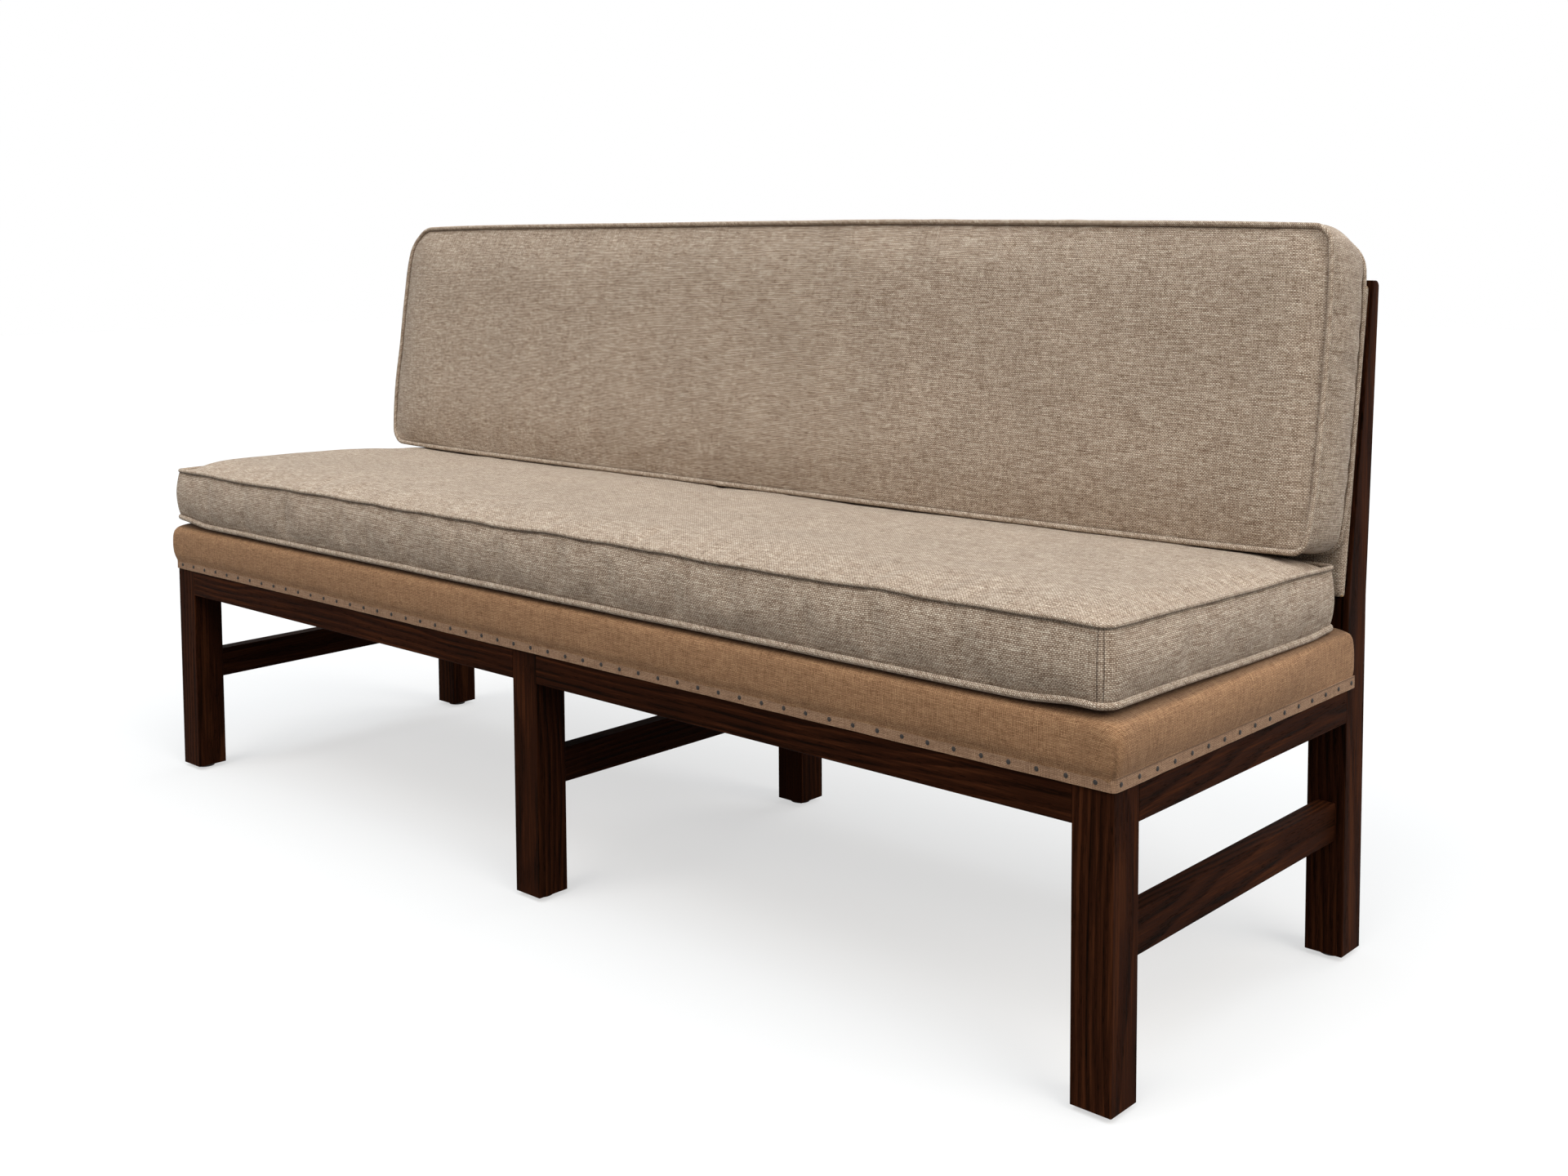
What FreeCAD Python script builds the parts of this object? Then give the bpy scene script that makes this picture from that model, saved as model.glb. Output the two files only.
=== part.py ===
# Upholstered banquette: a tenoned oak frame on six legs, a tacked seat deck, a raked back panel
# and two loose welted cushions. Millimetres, +Z up, the seat faces -Y, and the origin lies on the
# floor under the middle of the overall box.
import FreeCAD, Part
import math
import os
import re
import Sketcher

doc = FreeCAD.newDocument("banquette")
sheet = doc.addObject("Spreadsheet::Sheet", "Sizes")

sizes = {
    # oak frame
    "frame_length": 1850,
    "frame_depth": 586,
    "frame_shift": -3.34,
    "leg_size": 50,
    "edge_round": 1.5,
    "seat_frame_top": 378,
    "apron_height": 75,
    "apron_thickness": 22,
    "stretcher_thickness": 25,
    "stretcher_height": 48,
    "stretcher_bottom": 152,
    "tenon_wall": 2,
    "tenon_shoulder": 10,
    "tenon_cheek": 6,
    "tenon_clearance": 0.15,
    # raked back
    "post_top": 846,
    "bend_height": 456,
    "back_lean": 8,
    "post_rake": 3.1,
    "post_corner_round": 8,
    "back_rail_height": 50,
    "back_rail_thickness": 14,
    "back_rail_cheek": 4,
    "bottom_rail_start": 14,
    "top_rail_start": 320,
    # back panel
    "panel_inset": 7,
    "panel_start": 4,
    "panel_height": 382,
    "board_thickness": 4,
    "wadding_thickness": 3,
    "panel_fabric": 1,
    "panel_clearance": 0.2,
    "panel_screw_diameter": 4,
    "panel_screw_head": 8,
    "panel_screw_head_height": 2.4,
    "panel_screw_length": 14,
    "panel_screw_rows": 3,
    "panel_screw_first": 39,
    "panel_screw_pitch": 150,
    # glides
    "glide_height": 6,
    "glide_diameter": 30,
    "glide_nail_diameter": 3,
    "glide_nail_head": 9,
    "glide_nail_head_height": 1.5,
    "glide_nail_start": 2,
    "glide_nail_length": 22,
    # corner blocks
    "block_reach": 40,
    "block_height": 40,
    "block_drop": 14,
    "block_clearance": 0.2,
    "block_screw_diameter": 4,
    "block_screw_head": 8,
    "block_screw_head_height": 2.5,
    "block_screw_bite": 14,
    "block_screw_cover": 12,
    # seat webbing and canvas
    "webbing_width": 50,
    "webbing_thickness": 2,
    "webbing_margin": 3,
    "cross_web_count": 8,
    "cross_web_pitch": 220,
    "long_web_count": 3,
    "long_web_pitch": 140,
    "canvas_thickness": 1,
    "canvas_margin": 4,
    # seat deck
    "deck_top": 422,
    "deck_bulge": 14,
    "deck_corner_round": 20,
    "deck_rear_reach": 15,
    "burlap_thickness": 1.2,
    "burlap_clearance": 0.3,
    "pad_clearance": 0.3,
    "post_notch_clearance": 0.4,
    "skirt_bottom": 345,
    "tape_height": 15,
    "tape_thickness": 1,
    "tape_clearance": 0.1,
    # tacks
    "tack_pitch": 35.5,
    "tack_margin": 19.75,
    "side_tack_margin": 9,
    "tack_head_diameter": 5.5,
    "tack_head_height": 1.6,
    "tack_shank_diameter": 1.6,
    "tack_length": 12,
    # seat cushion
    "seat_cushion_inset": 7,
    "seat_cushion_rear_gap": 24,
    "seat_cushion_overhang": 3,
    "seat_cushion_height": 83.5,
    "seat_cushion_corner": 16,
    "seat_cushion_bulge": 4,
    "seat_cushion_crown": 15,
    "seat_cushion_crown_run": 90,
    "seat_welt_rise": 10,
    "seat_top_fall": 12,
    # back cushion
    "back_cushion_inset": 4,
    "back_cushion_height": 397,
    "back_cushion_thickness": 90,
    "back_cushion_corner": 34,
    "back_cushion_bulge": 4,
    "back_cushion_crown": 10,
    "back_cushion_crown_run": 90,
    "back_welt_rise": 8,
    # what both cushions share
    "cushion_base_run": 40,
    "cushion_fabric": 1.2,
    "core_clearance": 0.3,
    "cushion_rest_gap": 0.4,
    "welt_diameter": 6.4,
    "welt_stand_off": 2.4,
}
for row, (size_name, size_value) in enumerate(sizes.items(), start=1):
    sheet.set(f"A{row}", size_name)
    sheet.set(f"B{row}", str(size_value))
    sheet.setAlias(f"B{row}", size_name)
doc.recompute()

pieces = {}


# formulas

def cell(formula):
    """A formula with each size's name turned into its cell."""
    return re.sub(r"[a-z]\w*", lambda m: f"Sizes.{m.group()}" if m.group() in sizes else m.group(), formula)


def number(formula):
    """The value that a formula has now."""
    value = sheet.evalExpression(cell(formula))
    return float(getattr(value, "Value", value))


def bind(item, prop, formula):
    item.setExpression(prop, cell(formula))


def place(item, x, y, z):
    for axis, formula in zip("xyz", (x, y, z)):
        bind(item, f"Placement.Base.{axis}", formula)


def place_leaning(item, x, along, out):
    """Put an item in the back's leaning frame: X, up the slope, and out to the front."""
    item.Placement = FreeCAD.Placement(FreeCAD.Vector(), FreeCAD.Rotation(FreeCAD.Vector(1, 0, 0), 45))
    bind(item, "Placement.Rotation.Angle", "90 - back_lean")
    place(
        item,
        x,
        f"{post_front} + ({along})*sin(back_lean) - ({out})*cos(back_lean)",
        f"bend_height + ({along})*cos(back_lean) + ({out})*sin(back_lean)",
    )


# sketches and solids

def new_body(name):
    return doc.addObject("PartDesign::Body", name)


def plane(body, role):
    return next(feature for feature in body.Origin.OriginFeatures if feature.Role == role)


def sketch_on(body, name, role, offset):
    sketch = body.newObject("Sketcher::SketchObject", name)
    sketch.AttachmentSupport = [(plane(body, role), "")]
    sketch.MapMode = "FlatFace"
    bind(sketch, "AttachmentOffset.Base.z", offset)
    return sketch


def dimension(sketch, kind, places, formula):
    index = sketch.addConstraint(Sketcher.Constraint(kind, *places, number(formula)))
    bind(sketch, f"Constraints[{index}]", formula)


def rounded_rectangle(sketch, left, right, low, high, radius):
    """Four lines and four tangent corner arcs, each side set from the sketch's origin."""
    first = sketch.GeometryCount
    x0, x1, y0, y1, r = (number(formula) for formula in (left, right, low, high, radius))
    point = FreeCAD.Vector
    lines = [
        (point(x0 + r, y0), point(x1 - r, y0)),
        (point(x1, y0 + r), point(x1, y1 - r)),
        (point(x1 - r, y1), point(x0 + r, y1)),
        (point(x0, y1 - r), point(x0, y0 + r)),
    ]
    centres = [(x1 - r, y0 + r), (x1 - r, y1 - r), (x0 + r, y1 - r), (x0 + r, y0 + r)]
    for turn in range(4):
        sketch.addGeometry(Part.LineSegment(*lines[turn]), False)
        circle = Part.Circle(point(*centres[turn]), point(0, 0, 1), r)
        start = math.radians(90 * turn - 90)
        sketch.addGeometry(Part.ArcOfCircle(circle, start, start + math.pi / 2), False)
    for turn in range(4):
        line = first + 2 * turn
        following = first + (2 * turn + 2) % 8
        sketch.addConstraint(Sketcher.Constraint("Tangent", line, 2, line + 1, 1))
        sketch.addConstraint(Sketcher.Constraint("Tangent", line + 1, 2, following, 1))
        sketch.addConstraint(Sketcher.Constraint("Horizontal" if turn % 2 == 0 else "Vertical", line))
    for arc in (3, 5, 7):
        sketch.addConstraint(Sketcher.Constraint("Equal", first + 1, first + arc))
    dimension(sketch, "Radius", (first + 1,), radius)
    dimension(sketch, "DistanceX", (-1, 1, first + 2, 1), right)
    dimension(sketch, "DistanceX", (-1, 1, first + 6, 1), left)
    dimension(sketch, "DistanceY", (-1, 1, first, 1), low)
    dimension(sketch, "DistanceY", (-1, 1, first + 4, 1), high)


def polygon(sketch, points):
    """A closed outline with each corner set from the sketch's origin."""
    corners = [FreeCAD.Vector(number(x), number(y)) for x, y in points]
    count = len(corners)
    for index in range(count):
        sketch.addGeometry(Part.LineSegment(corners[index], corners[(index + 1) % count]), False)
    for index in range(count):
        sketch.addConstraint(Sketcher.Constraint("Coincident", index, 2, (index + 1) % count, 1))
    for index, (x, y) in enumerate(points):
        dimension(sketch, "DistanceX", (-1, 1, index, 1), x)
        dimension(sketch, "DistanceY", (-1, 1, index, 1), y)


def pad(body, name, sketch, length):
    feature = body.newObject("PartDesign::Pad", name)
    feature.Profile = sketch
    bind(feature, "Length", length)
    return feature


def box(name, x0, x1, y0, y1, z0, z1):
    item = doc.addObject("Part::Box", name)
    bind(item, "Length", f"({x1}) - ({x0})")
    bind(item, "Width", f"({y1}) - ({y0})")
    bind(item, "Height", f"({z1}) - ({z0})")
    place(item, x0, y0, z0)
    return item


def leaning_box(name, x0, x1, along0, along1, out0, out1):
    item = box(name, x0, x1, along0, along1, out0, out1)
    place_leaning(item, x0, along0, out0)
    return item


def cut(name, base, tools):
    tool = tools[0]
    if len(tools) > 1:
        tool = doc.addObject("Part::MultiFuse", f"{name}_tools")
        tool.Shapes = tools
    item = doc.addObject("Part::Cut", name)
    item.Base = base
    item.Tool = tool
    return item


def group(name, members):
    item = doc.addObject("Part::Compound", name)
    item.Links = members
    return item


def keep(item):
    """Name an item as one of the object's pieces."""
    item.Label = item.Name
    pieces[item.Name] = item
    return item


def loft(body, name, kind, sections):
    feature = body.newObject(f"PartDesign::{kind}Loft", name)
    feature.Profile = sections[0]
    feature.Sections = sections[1:]
    feature.Ruled = True
    return feature


# places that many pieces share

front = "(frame_shift - frame_depth/2)"
rear = "(frame_shift + frame_depth/2)"
post_front = "(frame_shift + frame_depth/2 - leg_size)"
end = "(frame_length/2)"
end_inner = "(frame_length/2 - leg_size)"
apron_low = "(seat_frame_top - apron_height)"
# tenons reach as far into a leg as the middle cross rail's own tenon leaves room for
tenon_length = "(leg_size/2 - apron_thickness/2 + tenon_cheek - tenon_wall)"
leg_centres = {
    "left": "(leg_size/2 - frame_length/2)",
    "middle": "0",
    "right": "(frame_length/2 - leg_size/2)",
}

# rails with a tenon at each end, and the mortises that take them

mortises = {}


def rail(name, along, start, stop, first, second, insets):
    """A rail from shoulder to shoulder, with a smaller core that runs on into the legs.

    first and second are the section's spans, and insets how far the tenon stands inside each.
    """
    body = new_body(name)
    role = "YZ_Plane" if along == "x" else "XZ_Plane"
    near = start if along == "x" else f"-({stop})"
    section = sketch_on(body, f"{name}_section", role, near)
    rounded_rectangle(section, *first, *second, "edge_round")
    pad(body, f"{name}_pad", section, f"({stop}) - ({start})")
    core = sketch_on(body, f"{name}_tenon", role, f"{near} - {tenon_length}")
    corners = [
        (f"{first[0]} + {insets[0]}", f"{second[0]} + {insets[1]}"),
        (f"{first[1]} - {insets[0]}", f"{second[0]} + {insets[1]}"),
        (f"{first[1]} - {insets[0]}", f"{second[1]} - {insets[1]}"),
        (f"{first[0]} + {insets[0]}", f"{second[1]} - {insets[1]}"),
    ]
    polygon(core, corners)
    pad(body, f"{name}_tenon_pad", core, f"({stop}) - ({start}) + 2*{tenon_length}")
    return keep(body)


def spans(span, inset):
    """A tenon's span, opened by the clearance of its mortise."""
    return f"{span[0]} + {inset} - tenon_clearance", f"{span[1]} - {inset} + tenon_clearance"


def mortise(leg, along, face, inwards, first, second, insets, leaning=False):
    """A pocket in a leg, from its face in the direction inwards (1 or -1)."""
    name = f"{leg}_mortise_{len(mortises.setdefault(leg, [])) + 1}"
    bottom = f"{face} + ({inwards})*({tenon_length} + tenon_clearance)"
    mouth = f"{face} - ({inwards})*tenon_clearance"
    depth = (mouth, bottom) if inwards > 0 else (bottom, mouth)
    cross = (*spans(first, insets[0]), *spans(second, insets[1]))
    if leaning:
        tool = leaning_box(name, *depth, *cross)
    elif along == "x":
        tool = box(name, *depth, *cross)
    else:
        tool = box(name, *cross[:2], *depth, *cross[2:])
    mortises[leg].append(tool)


flat_insets = ("tenon_cheek", "tenon_shoulder")
lean_insets = ("tenon_shoulder", "back_rail_cheek")
apron_span = (apron_low, "seat_frame_top")
front_apron_span = (front, f"{front} + apron_thickness")
rear_apron_span = (post_front, f"{post_front} + apron_thickness")
stretcher_span = ("stretcher_bottom", "stretcher_bottom + stretcher_height")
bottom_rail_span = ("bottom_rail_start", "bottom_rail_start + back_rail_height")
top_rail_span = ("top_rail_start", "top_rail_start + back_rail_height")
rail_depth = ("-back_rail_thickness", "0")
halves = {
    "left": (f"-{end_inner}", "-leg_size/2", "left", "middle"),
    "right": ("leg_size/2", end_inner, "middle", "right"),
}
for side, (start, stop, first_leg, second_leg) in halves.items():
    apron_rows = (("front", "front_leg", front_apron_span), ("rear", "rear_post", rear_apron_span))
    for row, leg, span in apron_rows:
        rail(f"{row}_apron_{side}", "x", start, stop, span, apron_span, flat_insets)
        mortise(f"{leg}_{first_leg}", "x", start, -1, span, apron_span, flat_insets)
        mortise(f"{leg}_{second_leg}", "x", stop, 1, span, apron_span, flat_insets)
    for row, span in (("bottom", bottom_rail_span), ("top", top_rail_span)):
        piece = rail(f"back_{row}_rail_{side}", "x", start, stop, span, rail_depth, lean_insets)
        place_leaning(piece, "0", "0", "0")
        mortise(f"rear_post_{first_leg}", "x", start, -1, span, rail_depth, lean_insets, leaning=True)
        mortise(f"rear_post_{second_leg}", "x", stop, 1, span, rail_depth, lean_insets, leaning=True)

depth_start = f"{front} + leg_size"
depth_stop = post_front
cross_pieces = {
    "side_apron_left": ("left", (f"-{end}", f"-{end} + apron_thickness"), apron_span),
    "side_apron_right": ("right", (f"{end} - apron_thickness", end), apron_span),
    "middle_cross_rail": ("middle", ("-apron_thickness/2", "apron_thickness/2"), apron_span),
}
for side, centre in leg_centres.items():
    across = (f"{centre} - stretcher_thickness/2", f"{centre} + stretcher_thickness/2")
    cross_pieces[f"stretcher_{side}"] = (side, across, stretcher_span)
for name, (side, across, upright) in cross_pieces.items():
    rail(name, "y", depth_start, depth_stop, across, upright, flat_insets)
    mortise(f"front_leg_{side}", "y", depth_start, -1, across, upright, flat_insets)
    mortise(f"rear_post_{side}", "y", depth_stop, 1, across, upright, flat_insets)

# front legs and rear posts

for side, centre in leg_centres.items():
    name = f"front_leg_{side}"
    blank = new_body(f"{name}_blank")
    section = sketch_on(blank, f"{name}_section", "XY_Plane", "glide_height")
    across = (f"{centre} - leg_size/2", f"{centre} + leg_size/2")
    rounded_rectangle(section, *across, front, f"{front} + leg_size", "edge_round")
    pad(blank, f"{name}_pad", section, "seat_frame_top - glide_height")
    keep(cut(name, blank, mortises[name]))

for side, centre in leg_centres.items():
    name = f"rear_post_{side}"
    blank = new_body(f"{name}_blank")
    outline = sketch_on(blank, f"{name}_outline", "YZ_Plane", f"{centre} - leg_size/2")
    leaning_height = "(post_top - bend_height)"
    polygon(outline, [
        (post_front, "glide_height"),
        (rear, "glide_height"),
        (rear, "bend_height"),
        (f"{rear} + {leaning_height}*tan(post_rake)", "post_top"),
        (f"{post_front} + {leaning_height}*tan(back_lean)", "post_top"),
        (post_front, "bend_height"),
    ])
    shaft = pad(blank, f"{name}_pad", outline, "leg_size")
    doc.recompute()
    top_rear = max(
        range(len(shaft.Shape.Edges)),
        key=lambda index: min(v.Y + 4 * v.Z for v in shaft.Shape.Edges[index].Vertexes),
    )
    corner = blank.newObject("PartDesign::Fillet", f"{name}_corner")
    corner.Base = (shaft, [f"Edge{top_rear + 1}"])
    bind(corner, "Radius", "post_corner_round")
    doc.recompute()
    sides = (number(f"{centre} - leg_size/2"), number(f"{centre} + leg_size/2"))
    rims = []
    for index, edge in enumerate(corner.Shape.Edges, start=1):
        if any(all(abs(v.X - face) < 0.001 for v in edge.Vertexes) for face in sides):
            rims.append(f"Edge{index}")
    easing = blank.newObject("PartDesign::Fillet", f"{name}_easing")
    easing.Base = (corner, rims)
    bind(easing, "Radius", "edge_round")
    keep(cut(name, blank, mortises[name]))

# glides and the nails moulded into them

glides = []
nails = []
for row, centre_y in (("front", f"{front} + leg_size/2"), ("rear", f"{rear} - leg_size/2")):
    for side, centre_x in leg_centres.items():
        disc = doc.addObject("Part::Cylinder", f"glide_disc_{row}_{side}")
        bind(disc, "Radius", "glide_diameter/2")
        bind(disc, "Height", "glide_height")
        place(disc, centre_x, centre_y, "0")
        glides.append(disc)
        head = doc.addObject("Part::Cylinder", f"nail_head_{row}_{side}")
        bind(head, "Radius", "glide_nail_head/2")
        bind(head, "Height", "glide_nail_head_height")
        place(head, centre_x, centre_y, "glide_nail_start")
        shank = doc.addObject("Part::Cylinder", f"nail_shank_{row}_{side}")
        bind(shank, "Radius", "glide_nail_diameter/2")
        bind(shank, "Height", "glide_nail_length")
        place(shank, centre_x, centre_y, "glide_nail_start")
        nail = doc.addObject("Part::MultiFuse", f"nail_{row}_{side}")
        nail.Shapes = [head, shank]
        nails.append(nail)
keep(group("leg_glides", glides))
keep(group("glide_nails", nails))

# corner blocks inside the seat frame, each held by a screw into either apron

block_top = "(seat_frame_top - block_drop)"
screw_level = f"({block_top} - block_height/2)"
side_face = f"({end} - apron_thickness - block_clearance)"
front_face = f"({front} + apron_thickness + block_clearance)"
rear_face = f"({post_front} - block_clearance)"
block_outlines = {
    "front": [
        (f"{end_inner} - block_reach", front_face),
        (f"{end_inner} - block_clearance", front_face),
        (f"{end_inner} - block_clearance", f"{front} + leg_size + block_clearance"),
        (side_face, f"{front} + leg_size + block_clearance"),
        (side_face, f"{front} + leg_size + block_reach"),
    ],
    "rear": [
        (f"{end_inner} - block_reach", rear_face),
        (side_face, f"{post_front} - block_reach - leg_size + apron_thickness"),
        (side_face, rear_face),
    ],
}
blocks = []
for row, points in block_outlines.items():
    body = new_body(f"corner_block_{row}")
    outline = sketch_on(body, f"corner_block_{row}_outline", "XY_Plane", f"{block_top} - block_height")
    polygon(outline, points)
    pad(body, f"corner_block_{row}_pad", outline, "block_height")
    other = doc.addObject("Part::Mirroring", f"corner_block_{row}_left")
    other.Source = body
    other.Normal = FreeCAD.Vector(1, 0, 0)
    blocks += [body, other]
keep(group("corner_blocks", blocks))


def headed_screw(name, shank, head, head_height, length):
    """A screw along -Z with its head's top at the origin."""
    item = doc.addObject("Part::Cylinder", f"{name}_shank")
    bind(item, "Radius", f"{shank}/2")
    bind(item, "Height", length)
    place(item, "0", "0", f"-({length})")
    cone = doc.addObject("Part::Cone", f"{name}_head")
    bind(cone, "Radius1", f"{shank}/2")
    bind(cone, "Radius2", f"{head}/2")
    bind(cone, "Height", head_height)
    place(cone, "0", "0", f"-({head_height})")
    screw = doc.addObject("Part::MultiFuse", name)
    screw.Shapes = [item, cone]
    return screw


def copies(name, master, placements):
    """One piece made of a master solid's copies."""
    item = doc.addObject("Part::Feature", name)
    solids = [master.Shape.copy().transformed(at.toMatrix()) for at in placements]
    item.Shape = Part.makeCompound(solids)
    item.Placement = FreeCAD.Placement()
    return keep(item)


def spot(x, y, z, rotation):
    return FreeCAD.Placement(FreeCAD.Vector(x, y, z), rotation)


block_screw = headed_screw(
    "block_screw",
    "block_screw_diameter",
    "block_screw_head",
    "block_screw_head_height",
    "block_screw_cover + block_clearance + block_screw_bite",
)
doc.recompute()
up = FreeCAD.Vector(0, 0, 1)
facing = {
    "left": FreeCAD.Rotation(up, FreeCAD.Vector(-1, 0, 0)),
    "right": FreeCAD.Rotation(up, FreeCAD.Vector(1, 0, 0)),
    "front": FreeCAD.Rotation(up, FreeCAD.Vector(0, -1, 0)),
    "rear": FreeCAD.Rotation(up, FreeCAD.Vector(0, 1, 0)),
}
level = number(screw_level)
beside_leg = number(f"{end_inner} - block_reach/3")
into_front = number(f"{front_face} + block_screw_cover")
into_rear = number(f"{rear_face} - block_screw_cover")
into_side = number(f"{side_face} - block_screw_cover")
front_row = number(f"{front} + leg_size + block_reach/3")
rear_row = number(f"{post_front} - block_reach/2")
screw_spots = []
for sign, away in ((1, "left"), (-1, "right")):
    screw_spots.append(spot(sign * beside_leg, into_front, level, facing["rear"]))
    screw_spots.append(spot(sign * beside_leg, into_rear, level, facing["front"]))
    screw_spots.append(spot(sign * into_side, front_row, level, facing[away]))
    screw_spots.append(spot(sign * into_side, rear_row, level, facing[away]))
copies("corner_block_screws", block_screw, screw_spots)

# back panel: board, wadding and a fabric tray drawn over both

panel_half = f"({end} - panel_inset)"
panel_stop = "(panel_start + panel_height)"
board_front = "board_thickness"
wadding_front = "(board_thickness + wadding_thickness)"
panel_face = (f"-{panel_half}", panel_half, "panel_start", panel_stop)
keep(leaning_box("back_panel_board", *panel_face, "0", board_front))
keep(leaning_box("back_panel_wadding", *panel_face, board_front, wadding_front))
panel_outer = f"({panel_half} + panel_clearance + panel_fabric)"
panel_inner = f"({panel_half} + panel_clearance)"
tray = leaning_box(
    "back_panel_tray",
    f"-{panel_outer}",
    panel_outer,
    "panel_start - panel_clearance - panel_fabric",
    f"{panel_stop} + panel_clearance + panel_fabric",
    "panel_clearance",
    f"{wadding_front} + panel_clearance + panel_fabric",
)
hollow = leaning_box(
    "back_panel_hollow",
    f"-{panel_inner}",
    panel_inner,
    "panel_start - panel_clearance",
    f"{panel_stop} + panel_clearance",
    "-panel_clearance",
    f"{wadding_front} + panel_clearance",
)
keep(cut("back_panel_cover", tray, [hollow]))

panel_screw = headed_screw(
    "panel_screw",
    "panel_screw_diameter",
    "panel_screw_head",
    "panel_screw_head_height",
    "panel_screw_length",
)
doc.recompute()
lean = number("back_lean")
slope = FreeCAD.Vector(0, math.sin(math.radians(lean)), math.cos(math.radians(lean)))
outward = FreeCAD.Vector(0, -math.cos(math.radians(lean)), math.sin(math.radians(lean)))
bend_line = FreeCAD.Vector(0, number(post_front), number("bend_height"))
panel_spots = []
for centre in leg_centres.values():
    for step in range(int(number("panel_screw_rows"))):
        rise = number("panel_screw_first") + step * number("panel_screw_pitch")
        at = bend_line + slope * rise + outward * number(board_front)
        panel_spots.append(spot(number(centre), at.y, at.z, FreeCAD.Rotation(up, outward)))
copies("back_panel_screws", panel_screw, panel_spots)

# seat webbing and canvas

web_front = f"({front} + webbing_margin)"
web_rear = f"({post_front} + apron_thickness - webbing_margin)"
cross_top = "(seat_frame_top + webbing_thickness)"
long_top = "(seat_frame_top + 2*webbing_thickness)"
cross_count = int(number("cross_web_count"))
straps = []
for index in range(cross_count):
    middle = f"({index} - ({cross_count} - 1)/2)*cross_web_pitch"
    straps.append(box(
        f"cross_strap_{index + 1}",
        f"{middle} - webbing_width/2",
        f"{middle} + webbing_width/2",
        web_front,
        web_rear,
        "seat_frame_top",
        cross_top,
    ))
keep(group("seat_webbing_crosswise", straps))
long_count = int(number("long_web_count"))
straps = []
for index in range(long_count):
    middle = f"(({front} + {post_front})/2 + ({index} - ({long_count} - 1)/2)*long_web_pitch)"
    straps.append(box(
        f"long_strap_{index + 1}",
        f"-{end} + webbing_margin",
        f"{end} - webbing_margin",
        f"{middle} - webbing_width/2",
        f"{middle} + webbing_width/2",
        cross_top,
        long_top,
    ))
keep(group("seat_webbing_lengthwise", straps))


def post_notches(name):
    """Room for the three posts at the rear of a seat layer."""
    return [
        box(
            f"{name}_notch_{side}",
            f"{centre} - leg_size/2 - post_notch_clearance",
            f"{centre} + leg_size/2 + post_notch_clearance",
            f"{post_front} - post_notch_clearance",
            rear,
            "0",
            "post_top",
        )
        for side, centre in leg_centres.items()
    ]


canvas_top = f"({long_top} + canvas_thickness)"
deck_rear = f"({post_front} + deck_rear_reach)"
canvas = box(
    "deck_canvas_sheet",
    f"-{end} + canvas_margin",
    f"{end} - canvas_margin",
    f"{front} + canvas_margin",
    f"{deck_rear} - canvas_margin",
    long_top,
    canvas_top,
)
keep(cut("deck_canvas", canvas, post_notches("deck_canvas")))

# seat deck: a stuffed pad with a rolled edge, and the hessian drawn over it and down over the aprons.
# Each stage is a share of the roll's height, of its bulge, of its corner and of the cloth's thickness
# that its top is lowered by.

roll_foot = f"({canvas_top} + pad_clearance)"
roll_height = f"(deck_top - {roll_foot})"
skirt_face = "(burlap_clearance + burlap_thickness)"
roll_stages = [
    (0.00, 0.55, 0.50, 0.0),
    (0.18, 0.92, 0.85, 0.0),
    (0.34, 1.00, 1.00, 0.0),
    (0.55, 0.90, 1.00, 0.2),
    (0.75, 0.45, 1.00, 0.5),
    (0.90, -0.60, 1.00, 0.9),
    (1.00, -2.60, 1.00, 1.0),
]


def deck_section(body, name, level, outset, rear_edge, radius):
    section = sketch_on(body, name, "XY_Plane", level)
    width = (f"-{end} - ({outset})", f"{end} + {outset}")
    rounded_rectangle(section, *width, f"{front} - ({outset})", rear_edge, radius)
    return section


def roll_sections(body, name, shrink):
    sections = []
    for index, (rise, bulge, round_share, drop) in enumerate(roll_stages, start=1):
        sections.append(deck_section(
            body,
            f"{name}_{index}",
            f"{roll_foot} + {rise}*{roll_height} - {drop}*{shrink}",
            f"{bulge}*deck_bulge - {shrink}",
            f"{deck_rear} - {shrink}",
            f"{round_share}*deck_corner_round - {shrink}",
        ))
    return sections


tight_corner = "(burlap_clearance + burlap_thickness + edge_round)"
cover = new_body("deck_cover_blank")
outer_foot = deck_section(
    cover, "deck_cover_foot", "seat_frame_top", skirt_face, deck_rear, tight_corner)
outer = [outer_foot] + roll_sections(cover, "deck_cover_outer", "0")
doc.recompute()
loft(cover, "deck_cover_roll", "Additive", outer)
inner_rear = f"{deck_rear} - burlap_thickness"
inner_foot = deck_section(
    cover, "deck_cover_mouth", "seat_frame_top", "burlap_clearance", inner_rear, "edge_round")
inner = [inner_foot] + roll_sections(cover, "deck_cover_inner", "burlap_thickness")
doc.recompute()
loft(cover, "deck_cover_hollow", "Subtractive", inner)
skirt = sketch_on(cover, "deck_cover_skirt", "XY_Plane", "skirt_bottom")
for face, back_edge, radius in (
    (skirt_face, deck_rear, tight_corner),
    ("burlap_clearance", inner_rear, "edge_round"),
):
    width = (f"-{end} - {face}", f"{end} + {face}")
    rounded_rectangle(skirt, *width, f"{front} - {face}", back_edge, radius)
doc.recompute()
pad(cover, "deck_cover_skirt_pad", skirt, "seat_frame_top - skirt_bottom")
open_rear = box(
    "deck_cover_open_rear",
    f"-{end} - burlap_clearance",
    f"{end} + burlap_clearance",
    f"{post_front} - post_notch_clearance",
    rear,
    "0",
    roll_foot,
)
keep(cut("deck_cover", cover, post_notches("deck_cover") + [open_rear]))

pad_shrink = "(burlap_thickness + pad_clearance)"
stuffing = new_body("deck_pad_blank")
pad_sections = roll_sections(stuffing, "deck_pad_section", pad_shrink)
doc.recompute()
loft(stuffing, "deck_pad_roll", "Additive", pad_sections)
keep(cut("deck_pad", stuffing, post_notches("deck_pad")))

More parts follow.
